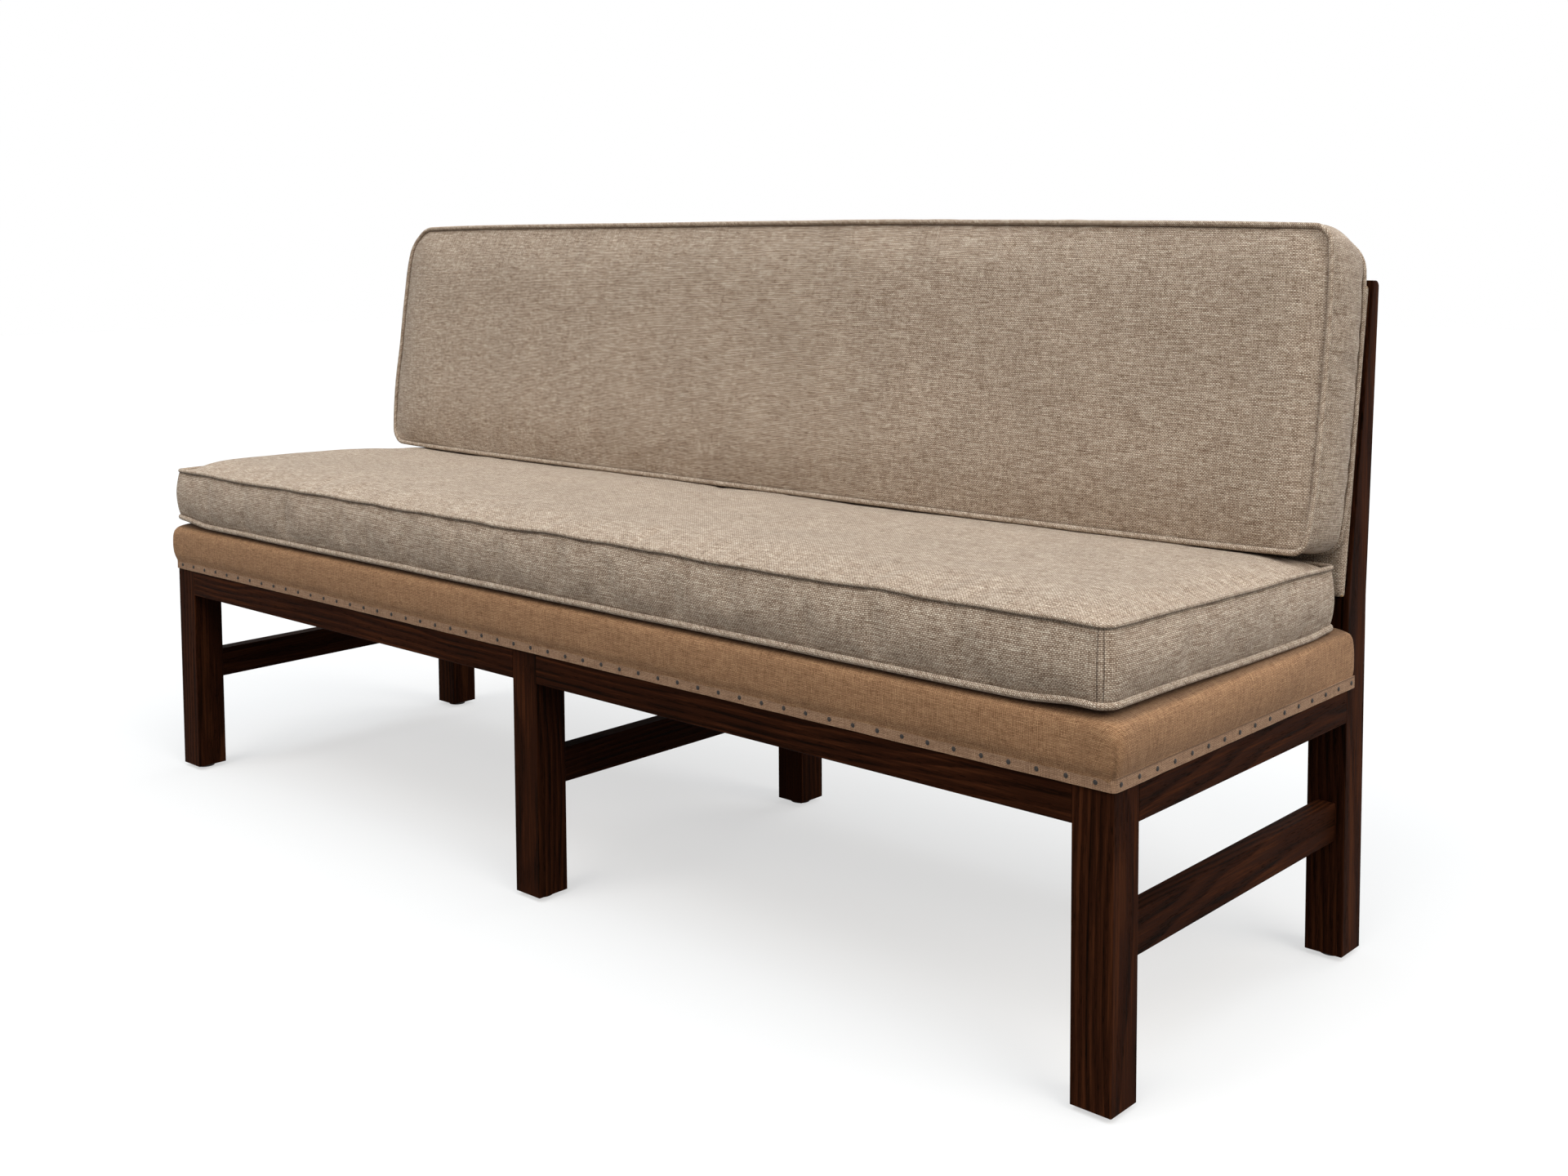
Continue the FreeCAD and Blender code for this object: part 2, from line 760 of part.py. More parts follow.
tape_inner = f"({skirt_face} + tape_clearance)"
tape_outer = f"({skirt_face} + tape_clearance + tape_thickness)"
band = new_body("deck_tape_band")
ring = sketch_on(band, "deck_tape_ring", "XY_Plane", "skirt_bottom")
for reach in (tape_outer, tape_inner):
    width = (f"-{end} - {reach}", f"{end} + {reach}")
    depth = (f"{front} - {reach}", f"{rear} + {reach}")
    rounded_rectangle(ring, *width, *depth, f"{reach} + edge_round")
doc.recompute()
pad(band, "deck_tape_pad", ring, "tape_height")
past_end = box(
    "deck_tape_end",
    f"-{end} - deck_bulge",
    f"{end} + deck_bulge",
    deck_rear,
    f"{rear} + deck_bulge",
    "0",
    "post_top",
)
keep(cut("deck_tape", band, [past_end]))

# tacks along the tape, with their points in the aprons and legs

head = doc.addObject("Part::Cone", "tack_head")
bind(head, "Radius1", "tack_head_diameter/2")
bind(head, "Radius2", "tack_head_diameter/4")
bind(head, "Height", "tack_head_height")
shank = doc.addObject("Part::Cylinder", "tack_shank")
bind(shank, "Radius", "tack_shank_diameter/2")
bind(shank, "Height", "tack_length + tack_head_height/2")
place(shank, "0", "0", "-tack_length")
tack = doc.addObject("Part::MultiFuse", "tack")
tack.Shapes = [head, shank]
doc.recompute()
pitch = number("tack_pitch")
tack_level = number("skirt_bottom + tape_height/2")
front_plane = number(f"{front} - {tape_outer}")
side_plane = number(f"{end} + {tape_outer}")
first_x = number(f"tack_margin - {end}")
first_y = number(f"{front} + side_tack_margin")
front_count = int((number("frame_length - 2*tack_margin") + 0.01) // pitch) + 1
side_count = int((number(f"{deck_rear} - {front} - 2*side_tack_margin") + 0.01) // pitch) + 1
tack_spots = []
for index in range(front_count):
    tack_spots.append(spot(first_x + index * pitch, front_plane, tack_level, facing["front"]))
for sign, side in ((-1, "left"), (1, "right")):
    for index in range(side_count):
        tack_spots.append(spot(sign * side_plane, first_y + index * pitch, tack_level, facing[side]))
copies("deck_tacks", tack, tack_spots)

# cushions: a cover with a crown and full sides round a foam core, and a welt along each seam.
# Each stage of a cushion is its height, how far it stands inside the seam line, the share of the
# cloth's thickness that moves it inwards along the height, and its share of the top's slope.


shoulder_in = 0.42
shoulder_up = 0.82


def cushion_stages(rise, height, bulge, crown, run):
    seam = f"({height} - {rise})"
    return [
        ("0", "cushion_base_run", 1.0, 0.0),
        (f"0.55*{rise}", "0.25*cushion_base_run", 0.8, 0.0),
        (rise, "0", 0.3, 0.0),
        (f"{rise} + 0.3*{seam}", f"-{bulge}", 0.0, 0.3),
        (f"{rise} + 0.7*{seam}", f"-{bulge}", 0.0, 0.7),
        (height, "0", -0.3, 1.0),
        (f"{height} + 0.45*{crown}", f"0.12*{run}", -0.8, 1.0),
        (f"{height} + {shoulder_up}*{crown}", f"{shoulder_in}*{run}", -1.0, 1.0),
        (f"{height} + {crown}", run, -1.0, 1.0),
    ]


def cushion_sections(body, name, stages, length, depth, corner, fall, shrink):
    sections = []
    for index, (rise, inset, inwards, tilt) in enumerate(stages, start=1):
        section = sketch_on(body, f"{name}_{index}", "XY_Plane", f"{rise} + ({inwards})*{shrink}")
        if tilt and fall != "0":
            section.AttachmentOffset = FreeCAD.Placement(
                section.AttachmentOffset.Base, FreeCAD.Rotation(FreeCAD.Vector(1, 0, 0), -1))
            bind(section, "AttachmentOffset.Rotation.Angle", f"-{tilt}*atan({fall}/{depth})")
        half_x = f"{length}/2 - ({inset}) - {shrink}"
        half_y = f"{depth}/2 - ({inset}) - {shrink}"
        rounded_rectangle(section, f"-({half_x})", half_x, f"-({half_y})", half_y, f"{corner} - {shrink}")
        sections.append(section)
    return sections


def cushion(name, stages, length, depth, corner, fall, put):
    cover = new_body(f"{name}_cover")
    outer = cushion_sections(cover, f"{name}_outer", stages, length, depth, corner, fall, "0")
    doc.recompute()
    loft(cover, f"{name}_skin", "Additive", outer)
    inner = cushion_sections(cover, f"{name}_inner", stages, length, depth, corner, fall, "cushion_fabric")
    doc.recompute()
    loft(cover, f"{name}_inside", "Subtractive", inner)
    core = new_body(f"{name}_core")
    shrink = "(cushion_fabric + core_clearance)"
    foam = cushion_sections(core, f"{name}_foam", stages, length, depth, corner, fall, shrink)
    doc.recompute()
    loft(core, f"{name}_block", "Additive", foam)
    for body in (cover, core):
        put(body, "0")
        keep(body)


def welt(name, length, depth, corner):
    """A round cord along a seam, in the plane of its own body."""
    body = new_body(name)
    path = sketch_on(body, f"{name}_path", "XY_Plane", "0")
    half_x = f"({length}/2 + welt_stand_off)"
    half_y = f"({depth}/2 + welt_stand_off)"
    rounded_rectangle(path, f"-{half_x}", half_x, f"-{half_y}", half_y, f"{corner} + welt_stand_off")
    ring = sketch_on(body, f"{name}_section", "YZ_Plane", "0")
    ring.addGeometry(Part.Circle(
        FreeCAD.Vector(number(f"-{half_y}"), 0), FreeCAD.Vector(0, 0, 1), number("welt_diameter/2")), False)
    dimension(ring, "Radius", (0,), "welt_diameter/2")
    dimension(ring, "DistanceX", (-1, 1, 0, 3), f"-{half_y}")
    ring.addConstraint(Sketcher.Constraint("PointOnObject", 0, 3, -1))
    doc.recompute()
    cord = body.newObject("PartDesign::AdditivePipe", f"{name}_cord")
    cord.Profile = ring
    cord.Spine = path
    return keep(body)


seat_floor = "(deck_top + cushion_rest_gap)"
seat_length = "(frame_length - 2*seat_cushion_inset)"
seat_depth = "(frame_depth - leg_size + seat_cushion_overhang - seat_cushion_rear_gap)"
seat_middle = f"({front} - seat_cushion_overhang + {seat_depth}/2)"


def put_on_seat(item, rise):
    place(item, "0", seat_middle, f"{seat_floor} + {rise}")


seat_stages = cushion_stages(
    "seat_welt_rise",
    "seat_cushion_height",
    "seat_cushion_bulge",
    "seat_cushion_crown",
    "seat_cushion_crown_run",
)
seat_plan = (seat_length, seat_depth, "seat_cushion_corner")
cushion("seat_cushion", seat_stages, *seat_plan, "seat_top_fall", put_on_seat)
put_on_seat(welt("seat_cushion_bottom_welt", *seat_plan), "seat_welt_rise")
top_welt = welt("seat_cushion_top_welt", *seat_plan)
top_welt.Placement = FreeCAD.Placement(FreeCAD.Vector(), FreeCAD.Rotation(FreeCAD.Vector(1, 0, 0), -1))
bind(top_welt, "Placement.Rotation.Angle", f"-atan(seat_top_fall/{seat_depth})")
put_on_seat(top_welt, "seat_cushion_height")

# the back cushion leans on the panel, and its low side stands on the rear shoulder of the seat
# cushion's crown
panel_front = f"({wadding_front} + panel_clearance + panel_fabric)"
back_out = f"({panel_front} + cushion_rest_gap)"
shoulder_back = f"({seat_depth}/2 - {shoulder_in}*seat_cushion_crown_run)"
shoulder_y = f"({seat_middle} + {shoulder_back})"
shoulder_z = (
    f"({seat_floor} + seat_cushion_height + {shoulder_up}*seat_cushion_crown"
    f" - seat_top_fall*{shoulder_back}/{seat_depth})"
)
back_low = (
    f"(({shoulder_z} + cushion_rest_gap - bend_height - ({post_front} - {shoulder_y})*tan(back_lean))"
    "*cos(back_lean) + back_cushion_bulge)"
)


def put_on_back(item, rise):
    place_leaning(item, "0", f"{back_low} + back_cushion_height/2", f"{back_out} + {rise}")


back_front_seam = "(back_welt_rise + back_cushion_thickness)"
back_stages = cushion_stages(
    "back_welt_rise",
    back_front_seam,
    "back_cushion_bulge",
    "back_cushion_crown",
    "back_cushion_crown_run",
)
back_plan = ("(frame_length - 2*back_cushion_inset)", "back_cushion_height", "back_cushion_corner")
cushion("back_cushion", back_stages, *back_plan, "0", put_on_back)
put_on_back(welt("back_cushion_rear_welt", *back_plan), "back_welt_rise")
put_on_back(welt("back_cushion_front_welt", *back_plan), back_front_seam)

# check every object and every piece, then write the pieces

doc.recompute()
failed = [item.Name for item in doc.Objects if {"Invalid", "Error"} & set(item.State)]
if failed:
    raise RuntimeError(f"not built: {failed}")
for name, item in pieces.items():
    if item.Shape.isNull() or not item.Shape.isValid() or not item.Shape.Solids:
        raise RuntimeError(f"no sound solid: {name}")

os.makedirs("parts", exist_ok=True)
for name, item in pieces.items():
    item.Shape.exportStep(f"parts/{name}.step")
overall = FreeCAD.BoundBox()
for item in pieces.values():
    overall.add(item.Shape.BoundBox)
print(f"{len(pieces)} pieces, {overall}")
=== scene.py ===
import bpy
import math
from mathutils import Matrix, Vector, noise


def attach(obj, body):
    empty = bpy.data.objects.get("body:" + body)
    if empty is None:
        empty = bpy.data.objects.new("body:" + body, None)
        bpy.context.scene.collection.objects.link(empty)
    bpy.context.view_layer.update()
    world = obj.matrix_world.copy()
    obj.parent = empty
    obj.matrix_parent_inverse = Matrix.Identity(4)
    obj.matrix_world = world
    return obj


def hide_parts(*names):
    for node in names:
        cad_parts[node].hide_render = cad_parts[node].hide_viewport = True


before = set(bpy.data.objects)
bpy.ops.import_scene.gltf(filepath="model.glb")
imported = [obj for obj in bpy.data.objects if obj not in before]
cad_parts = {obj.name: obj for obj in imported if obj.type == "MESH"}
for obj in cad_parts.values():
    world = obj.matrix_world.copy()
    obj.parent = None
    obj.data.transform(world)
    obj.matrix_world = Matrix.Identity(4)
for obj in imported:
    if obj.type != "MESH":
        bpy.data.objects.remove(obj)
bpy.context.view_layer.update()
scene = bpy.context.scene
print("frame loaded:", len(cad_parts), "nodes")


# small helpers

def letGo():
    bpy.ops.object.select_all(action="DESELECT")


def takeHold(*objs):
    letGo()
    for obj in objs:
        obj.select_set(True)
    bpy.context.view_layer.objects.active = objs[0]


def editMode():
    bpy.ops.object.mode_set(mode="EDIT")


def objectMode():
    bpy.ops.object.mode_set(mode="OBJECT")


def pickAll():
    bpy.ops.mesh.select_all(action="SELECT")


def faceOut():
    pickAll()
    bpy.ops.mesh.normals_make_consistent(inside=False)


def setUp(thing, settings):
    for key, value in settings.items():
        setattr(thing, key, value)
    return thing


def nameActive(name):
    piece = bpy.context.object
    piece.name = piece.data.name = name
    return piece


def finishWith(piece, kind, **settings):
    takeHold(piece)
    modifier = setUp(piece.modifiers.new(kind.title(), kind), settings)
    bpy.ops.object.modifier_apply(modifier=modifier.name)


def smoothOnce(piece):
    finishWith(piece, "SUBSURF", levels=1, render_levels=1)


def cleanUp(piece, gap=0.00002):
    takeHold(piece)
    editMode()
    pickAll()
    bpy.ops.mesh.remove_doubles(threshold=gap)
    faceOut()
    objectMode()


def wear(piece, material):
    piece.data.materials.clear()
    piece.data.materials.append(material)


def dress(piece, material, angle):
    takeHold(piece)
    bpy.ops.object.shade_smooth_by_angle(angle=math.radians(angle))
    wear(piece, material)
    return piece


def joinAll(pieces, name):
    takeHold(*pieces)
    bpy.ops.object.join()
    return nameActive(name)


def handOver(piece, body, slotName, *nodes):
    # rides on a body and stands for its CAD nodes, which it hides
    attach(piece, body)
    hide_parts(*nodes)


def wander(x, y, size, seed):
    return noise.noise(Vector((x / size, y / size, seed)))


def ramp(value, low, high):
    share = min(max((value - low) / (high - low), 0.0), 1.0)
    return share * share * (3 - 2 * share)


def rgb(red, green, blue):
    # screen colours 0-255 to the linear values that nodes take
    def linear(level):
        level /= 255
        return level / 12.92 if level <= 0.04045 else ((level + 0.055) / 1.055) ** 2.4
    return (linear(red), linear(green), linear(blue), 1)


def grey(level):
    return (level, level, level, 1)


# node helpers

def addNode(tree, kind, **settings):
    return setUp(tree.nodes.new(kind), settings)


def feed(tree, socket, value):
    if isinstance(value, bpy.types.NodeSocket):
        tree.links.new(value, socket)
    else:
        socket.default_value = value


def fill(tree, node, **values):
    for key, value in values.items():
        feed(tree, node.inputs[key.replace("_", " ")], value)
    return node


def feedRow(tree, node, values):
    for socket, value in zip(node.inputs, values):
        feed(tree, socket, value)
    return node.outputs[0]


def calc(tree, operation, *values):
    return feedRow(tree, addNode(tree, "ShaderNodeMath", operation=operation), values)


def times(tree, first, second):
    return calc(tree, "MULTIPLY", first, second)


def swing(tree, value, amount, base, middle=0.5):
    # moves base by how far a value lies from its middle
    return calc(tree, "MULTIPLY_ADD", calc(tree, "SUBTRACT", value, middle), amount, base)


def blendColour(tree, share, first, second, mode="MIX"):
    node = addNode(tree, "ShaderNodeMix", data_type="RGBA", blend_type=mode)
    for place, value in ((0, share), (6, first), (7, second)):
        feed(tree, node.inputs[place], value)
    return node.outputs[2]


def splitUp(tree, vector):
    return fill(tree, addNode(tree, "ShaderNodeSeparateXYZ"), Vector=vector).outputs


def joinUp(tree, *values):
    return feedRow(tree, addNode(tree, "ShaderNodeCombineXYZ"), values)


def stretch(tree, vector, scale, shift=(0, 0, 0)):
    return fill(tree, addNode(tree, "ShaderNodeMapping"), Vector=vector, Scale=scale, Location=shift).outputs[0]


def cloudy(tree, vector, scale=1.0, detail=2.0, roughness=0.5):
    node = addNode(tree, "ShaderNodeTexNoise")
    return fill(tree, node, Vector=vector, Scale=scale, Detail=detail, Roughness=roughness).outputs[0]


def between(tree, value, low, high, lowOut=0.0, highOut=1.0):
    node = addNode(tree, "ShaderNodeMapRange", interpolation_type="SMOOTHSTEP")
    return fill(tree, node, Value=value, From_Min=low, From_Max=high, To_Min=lowOut, To_Max=highOut).outputs[0]


def threeTones(tree, tone, entry, dark, light):
    # from the dark colour through the middle one to the light one
    lower = blendColour(tree, between(tree, tone, dark, 0.5), entry["Dark"], entry["Mid"])
    return blendColour(tree, between(tree, tone, 0.5, light), lower, entry["Light"])


def newGroup(name, values, colours):
    # takes a place, values and colours, and gives a surface's colour, height and roughness
    group = bpy.data.node_groups.new(name, "ShaderNodeTree")
    sockets = [("Vector", "INPUT", "Vector")]
    sockets += [(label, "INPUT", "Float") for label in values] + [(label, "INPUT", "Color") for label in colours]
    sockets += [("Color", "OUTPUT", "Color"), ("Height", "OUTPUT", "Float"), ("Roughness", "OUTPUT", "Float")]
    for label, way, kind in sockets:
        group.interface.new_socket(name=label, in_out=way, socket_type="NodeSocket" + kind)
    return group, group.nodes.new("NodeGroupInput").outputs, group.nodes.new("NodeGroupOutput")


def useGroup(tree, group, **values):
    return fill(tree, addNode(tree, "ShaderNodeGroup", node_tree=group), **values).outputs


def newMaterial(name, **constants):
    material = bpy.data.materials.new(name)
    material.use_nodes = True
    tree = material.node_tree
    return material, tree, fill(tree, tree.nodes["Principled BSDF"], **constants)


def coverWith(tree, shader, colour, roughness, height, strength, distance):
    bump = fill(tree, addNode(tree, "ShaderNodeBump"), Strength=strength, Distance=distance, Height=height)
    fill(tree, shader, Base_Color=colour, Roughness=roughness, Normal=bump.outputs[0])


# shared surface effects

tones = ("Dark", "Mid", "Light")


def makeWeaveGroup():
    # plain weave: each yarn dips under its neighbours and has its own uneven tint
    tree, entry, result = newGroup("yarnWeave", ("Pitch", "Drift", "Streak", "Slub", "Float", "Contrast"), tones)
    spot = splitUp(tree, entry["Vector"])
    even = [calc(tree, "DIVIDE", spot[axis], entry["Pitch"]) for axis in (0, 1)]
    cloth = joinUp(tree, *even)
    sway = fill(tree, addNode(tree, "ShaderNodeTexNoise"), Vector=cloth, Scale=0.16, Detail=2)
    drift = splitUp(tree, sway.outputs["Color"])
    across, along = [swing(tree, drift[axis], entry["Drift"], even[axis]) for axis in (0, 1)]

    def yarn(crosswise, lengthwise, phase, seed):
        # height of a yarn that runs lengthwise, and its tint
        cell = calc(tree, "FLOOR", crosswise)
        body = calc(tree, "SINE", times(tree, calc(tree, "FRACT", crosswise), math.pi))
        step = calc(tree, "ADD", lengthwise, calc(tree, "ADD", cell, phase))
        beat = calc(tree, "COSINE", times(tree, step, math.pi))
        height = calc(tree, "MULTIPLY_ADD", body, 0.55, calc(tree, "MULTIPLY_ADD", beat, 0.25, 0.2))
        streak = times(tree, lengthwise, entry["Streak"])
        uneven = cloudy(tree, joinUp(tree, times(tree, cell, 3.37), streak, seed), 1.0, 3.0, 0.7)
        return swing(tree, uneven, 0.5, height), uneven

    def slub(lengthwise, crosswise, seed):
        # long thick and thin stretches that run with the yarn
        place = joinUp(tree, times(tree, lengthwise, 0.05), times(tree, crosswise, 1.1), seed)
        return calc(tree, "SUBTRACT", cloudy(tree, place, 1.0, 2.0, 0.6), 0.5)

    warp, warpTint = yarn(across, along, 0.5, 1.7)
    weft, weftTint = yarn(along, across, 1.5, 8.3)
    warp = calc(tree, "MULTIPLY_ADD", entry["Float"], -0.3, warp)
    onTop = between(tree, calc(tree, "SUBTRACT", weft, warp), -0.06, 0.06)
    rise = calc(tree, "MAXIMUM", warp, weft)
    tint = addNode(tree, "ShaderNodeMix", data_type="FLOAT")
    sunkTint = calc(tree, "MULTIPLY_ADD", entry["Float"], -0.1, warpTint)
    for place, value in ((0, onTop), (2, sunkTint), (3, weftTint)):
        feed(tree, tint.inputs[place], value)
    fuzz = cloudy(tree, cloth, 2.6, 3.0, 0.7)
    slubs = calc(tree, "MULTIPLY_ADD", slub(along, across, 15.2), 0.45, slub(across, along, 11.9))
    tone = swing(tree, fuzz, 0.4, swing(tree, tint.outputs[0], entry["Contrast"], 0.5))
    tone = calc(tree, "MULTIPLY_ADD", slubs, entry["Slub"], tone)
    # painted highlight on the raised yarns
    tone = swing(tree, rise, 0.45, tone, 0.72)
    colour = threeTones(tree, tone, entry, 0.28, 0.72)
    # painted shade in the dips between the yarns
    shaded = blendColour(tree, 1.0, colour, between(tree, rise, 0.3, 0.85, 0.5, 1.06), "MULTIPLY")
    fill(tree, result, Color=shaded, Height=swing(tree, fuzz, 0.3, rise),
         Roughness=between(tree, rise, 0.2, 1.0, 0.96, 0.82))
    return tree


def makeGrainGroup():
    # growth rings, fibres and pores of a plank whose length runs along X
    tree, entry, result = newGroup("plankGrain", ("Rings",), tones)
    plank = entry["Vector"]

    def streaks(scale, detail, roughness, shift=(0, 0, 0)):
        return cloudy(tree, stretch(tree, plank, scale, shift), 1.0, detail, roughness)

    spot = splitUp(tree, plank)
    bendy = streaks((1.8, 8, 8), 3.0, 0.5)
    sway = streaks((1.1, 2, 2), 1.0, 0.5, (5, 2, 7))
    sideways = swing(tree, sway, 0.1, calc(tree, "MULTIPLY_ADD", spot[0], 0.02, spot[1]))
    upward = calc(tree, "ADD", spot[2], 0.043)
    radius = calc(tree, "SQRT", calc(tree, "ADD", times(tree, sideways, sideways), times(tree, upward, upward)))
    ring = calc(tree, "FRACT", calc(tree, "MULTIPLY_ADD", bendy, 5.0, times(tree, radius, entry["Rings"])))
    lateWood = times(tree, between(tree, ring, 0.1, 0.7), between(tree, ring, 1.0, 0.86))
    fibre = streaks((9, 330, 330), 4.0, 0.7)
    broad = streaks((2.5, 22, 22), 2.0, 0.5, (3, 1, 2))
    poreField = streaks((70, 1100, 1100), 1.0, 0.5)
    pores = times(tree, between(tree, poreField, 0.55, 0.66), between(tree, lateWood, 0.9, 0.2, 0.25, 1.0))
    tone = swing(tree, lateWood, 0.2, swing(tree, broad, 0.5, swing(tree, fibre, 0.9, 0.5)))
    colour = threeTones(tree, tone, entry, 0.22, 0.82)
    fill(tree, result, Color=blendColour(tree, times(tree, pores, 0.7), colour, entry["Dark"]),
         Height=calc(tree, "MULTIPLY_ADD", pores, -0.8, times(tree, fibre, 0.3)),
         Roughness=calc(tree, "MULTIPLY_ADD", pores, 0.2, between(tree, fibre, 0.3, 0.7, 0.5, 0.64)))
    return tree


def makeScuffGroup():
    # soft cloudy marks for metal and plastic
    tree, entry, result = newGroup("handledSurface", ("Size", "Gloss"), ("Clean", "Worn"))
    scaled = fill(tree, addNode(tree, "ShaderNodeVectorMath", operation="SCALE"), Vector=entry["Vector"],
                  Scale=calc(tree, "DIVIDE", 1.0, entry["Size"]))
    marks = cloudy(tree, scaled.outputs[0], 1.0, 4.0, 0.6)
    fill(tree, result, Color=blendColour(tree, between(tree, marks, 0.35, 0.7), entry["Clean"], entry["Worn"]),
         Height=marks, Roughness=swing(tree, marks, 0.3, entry["Gloss"]))
    return tree


yarnWeave = makeWeaveGroup()
plankGrain = makeGrainGroup()
handledSurface = makeScuffGroup()


# materials

stainedOak = {"dark": rgb(12, 5, 2), "mid": rgb(42, 20, 10), "light": rgb(70, 38, 21), "rings": 110}
paleHardwood = {"dark": rgb(150, 112, 72), "mid": rgb(190, 152, 106), "light": rgb(214, 182, 138), "rings": 120}
plywoodFace = {"dark": rgb(158, 120, 78), "mid": rgb(196, 160, 114), "light": rgb(216, 186, 144), "rings": 34}
grainTurns = {"x": (0, 0, 0), "y": (0, 0, -math.pi / 2), "z": (0, math.pi / 2, 0)}


def pick(look, *names):
    return {name: look[name.lower()] for name in names}


def plankMaterial(name, look, grainAlong, gloss):
    material, tree, shader = newMaterial(name, Specular_IOR_Level=gloss)
    spot = addNode(tree, "ShaderNodeTexCoord").outputs["Object"]
    turned = fill(tree, addNode(tree, "ShaderNodeMapping"), Vector=spot, Rotation=grainTurns[grainAlong])
    grain = useGroup(tree, plankGrain, Vector=turned.outputs[0], **pick(look, "Rings", *tones))
    coverWith(tree, shader, grain["Color"], grain["Roughness"], grain["Height"], 0.35, 0.0006)
    return material


stitching = {"halfWidth": (0.0003, 0.0011), "bandFrom": 1.5, "dark": 0.55, "depth": -1.6}


def clothMaterial(name, look):
    # weave laid on the piece's own map; marked points take painted shade beside cushion seams and on the deck's rim and
    # corner folds, woven stripes on webbing and a seam line on tape
    material, tree, shader = newMaterial(name, Sheen_Weight=look["sheen"], Sheen_Roughness=0.5, Specular_IOR_Level=0.2)
    cloth = addNode(tree, "ShaderNodeUVMap", uv_map="cloth").outputs[0]
    weave = useGroup(tree, yarnWeave, Vector=cloth,
                     **pick(look, "Pitch", "Drift", "Streak", "Slub", "Float", "Contrast", *tones))
    shadeAndStripe = addNode(tree, "ShaderNodeAttribute", attribute_name="shadeAndStripe").outputs["Fac"]
    mottle = between(tree, cloudy(tree, cloth, 9.0, 3.0, 0.5), 0.3, 0.7, 0.96, 1.03)
    toned = blendColour(tree, 1.0, weave["Color"], mottle, "MULTIPLY")
    dark = times(tree, shadeAndStripe, look["shadeAndStripeDepth"])
    height = weave["Height"]
    if "joint" in look:
        # two rows of stitching where the band's ends meet
        spot = splitUp(tree, cloth)
        offRow = [calc(tree, "ABSOLUTE", calc(tree, "SUBTRACT", spot[0], row)) for row in look["joint"]]
        rows = [between(tree, gap, *stitching["halfWidth"], 1.0, 0.0) for gap in offRow]
        onBand = calc(tree, "GREATER_THAN", spot[1], stitching["bandFrom"])
        stitched = times(tree, calc(tree, "MAXIMUM", *rows), onBand)
        dark = calc(tree, "MAXIMUM", dark, times(tree, stitched, stitching["dark"]))
        height = calc(tree, "MULTIPLY_ADD", stitched, stitching["depth"], height)
    # painted shade beside seams and on the deck rim, stripes and seam lines on webbing and tape
    shadedAndStriped = blendColour(tree, dark, toned, look["shadeAndStripeColour"])
    coverWith(tree, shader, shadedAndStriped, weave["Roughness"], height, look["relief"], look["pitch"] * 0.35)
    return material


def handledMaterial(name, clean, worn, size, gloss, metallic):
    material, tree, shader = newMaterial(name, Metallic=metallic)
    spot = addNode(tree, "ShaderNodeTexCoord").outputs["Object"]
    marks = useGroup(tree, handledSurface, Vector=spot, Size=size, Clean=clean, Worn=worn, Gloss=gloss)
    coverWith(tree, shader, marks["Color"], marks["Roughness"], marks["Height"], 0.15, 0.0004)
    return material


cushionTweed = {
    "pitch": 0.0019, "drift": 0.55, "streak": 0.2, "slub": 0.52, "float": 0.7, "contrast": 0.66,
    "dark": rgb(134, 111, 92), "mid": rgb(180, 161, 142), "light": rgb(214, 201, 183),
    # the last colour here is painted shade beside the seams
    "sheen": 0.1, "relief": 0.8, "shadeAndStripeDepth": 0.9, "shadeAndStripeColour": rgb(58, 40, 31),
}
deckHessian = {
    "pitch": 0.0017, "drift": 0.9, "streak": 0.13, "slub": 0.35, "float": 0.15, "contrast": 0.55,
    "dark": rgb(114, 80, 54), "mid": rgb(154, 116, 84), "light": rgb(180, 143, 106),
    # the last colour here is painted shade on the deck's top rim and along its corner folds
    "sheen": 0.05, "relief": 0.5, "shadeAndStripeDepth": 0.9, "shadeAndStripeColour": rgb(36, 22, 14),
}
edgeTape = {
    "pitch": 0.0014, "drift": 0.6, "streak": 0.12, "slub": 0.3, "float": 0.2, "contrast": 0.5,
    "dark": rgb(114, 85, 64), "mid": rgb(151, 119, 94), "light": rgb(176, 146, 118),
    "sheen": 0.05, "relief": 0.5, "shadeAndStripeDepth": 0.8, "shadeAndStripeColour": rgb(74, 50, 34),
}
strapJute = {
    "pitch": 0.0028, "drift": 0.7, "streak": 0.1, "slub": 0.4, "float": 0.3, "contrast": 0.8,
    "dark": rgb(118, 88, 54), "mid": rgb(170, 134, 90), "light": rgb(198, 166, 120),
    "sheen": 0.05, "relief": 0.8, "shadeAndStripeDepth": 0.8, "shadeAndStripeColour": rgb(112, 34, 26),
}
baseCanvas = {
    "pitch": 0.0011, "drift": 0.5, "streak": 0.1, "slub": 0.3, "float": 0.1, "contrast": 0.5,
    "dark": rgb(176, 162, 136), "mid": rgb(206, 194, 170), "light": rgb(224, 214, 192),
    "sheen": 0.05, "relief": 0.5, "shadeAndStripeDepth": 0.5, "shadeAndStripeColour": rgb(120, 104, 82),
}

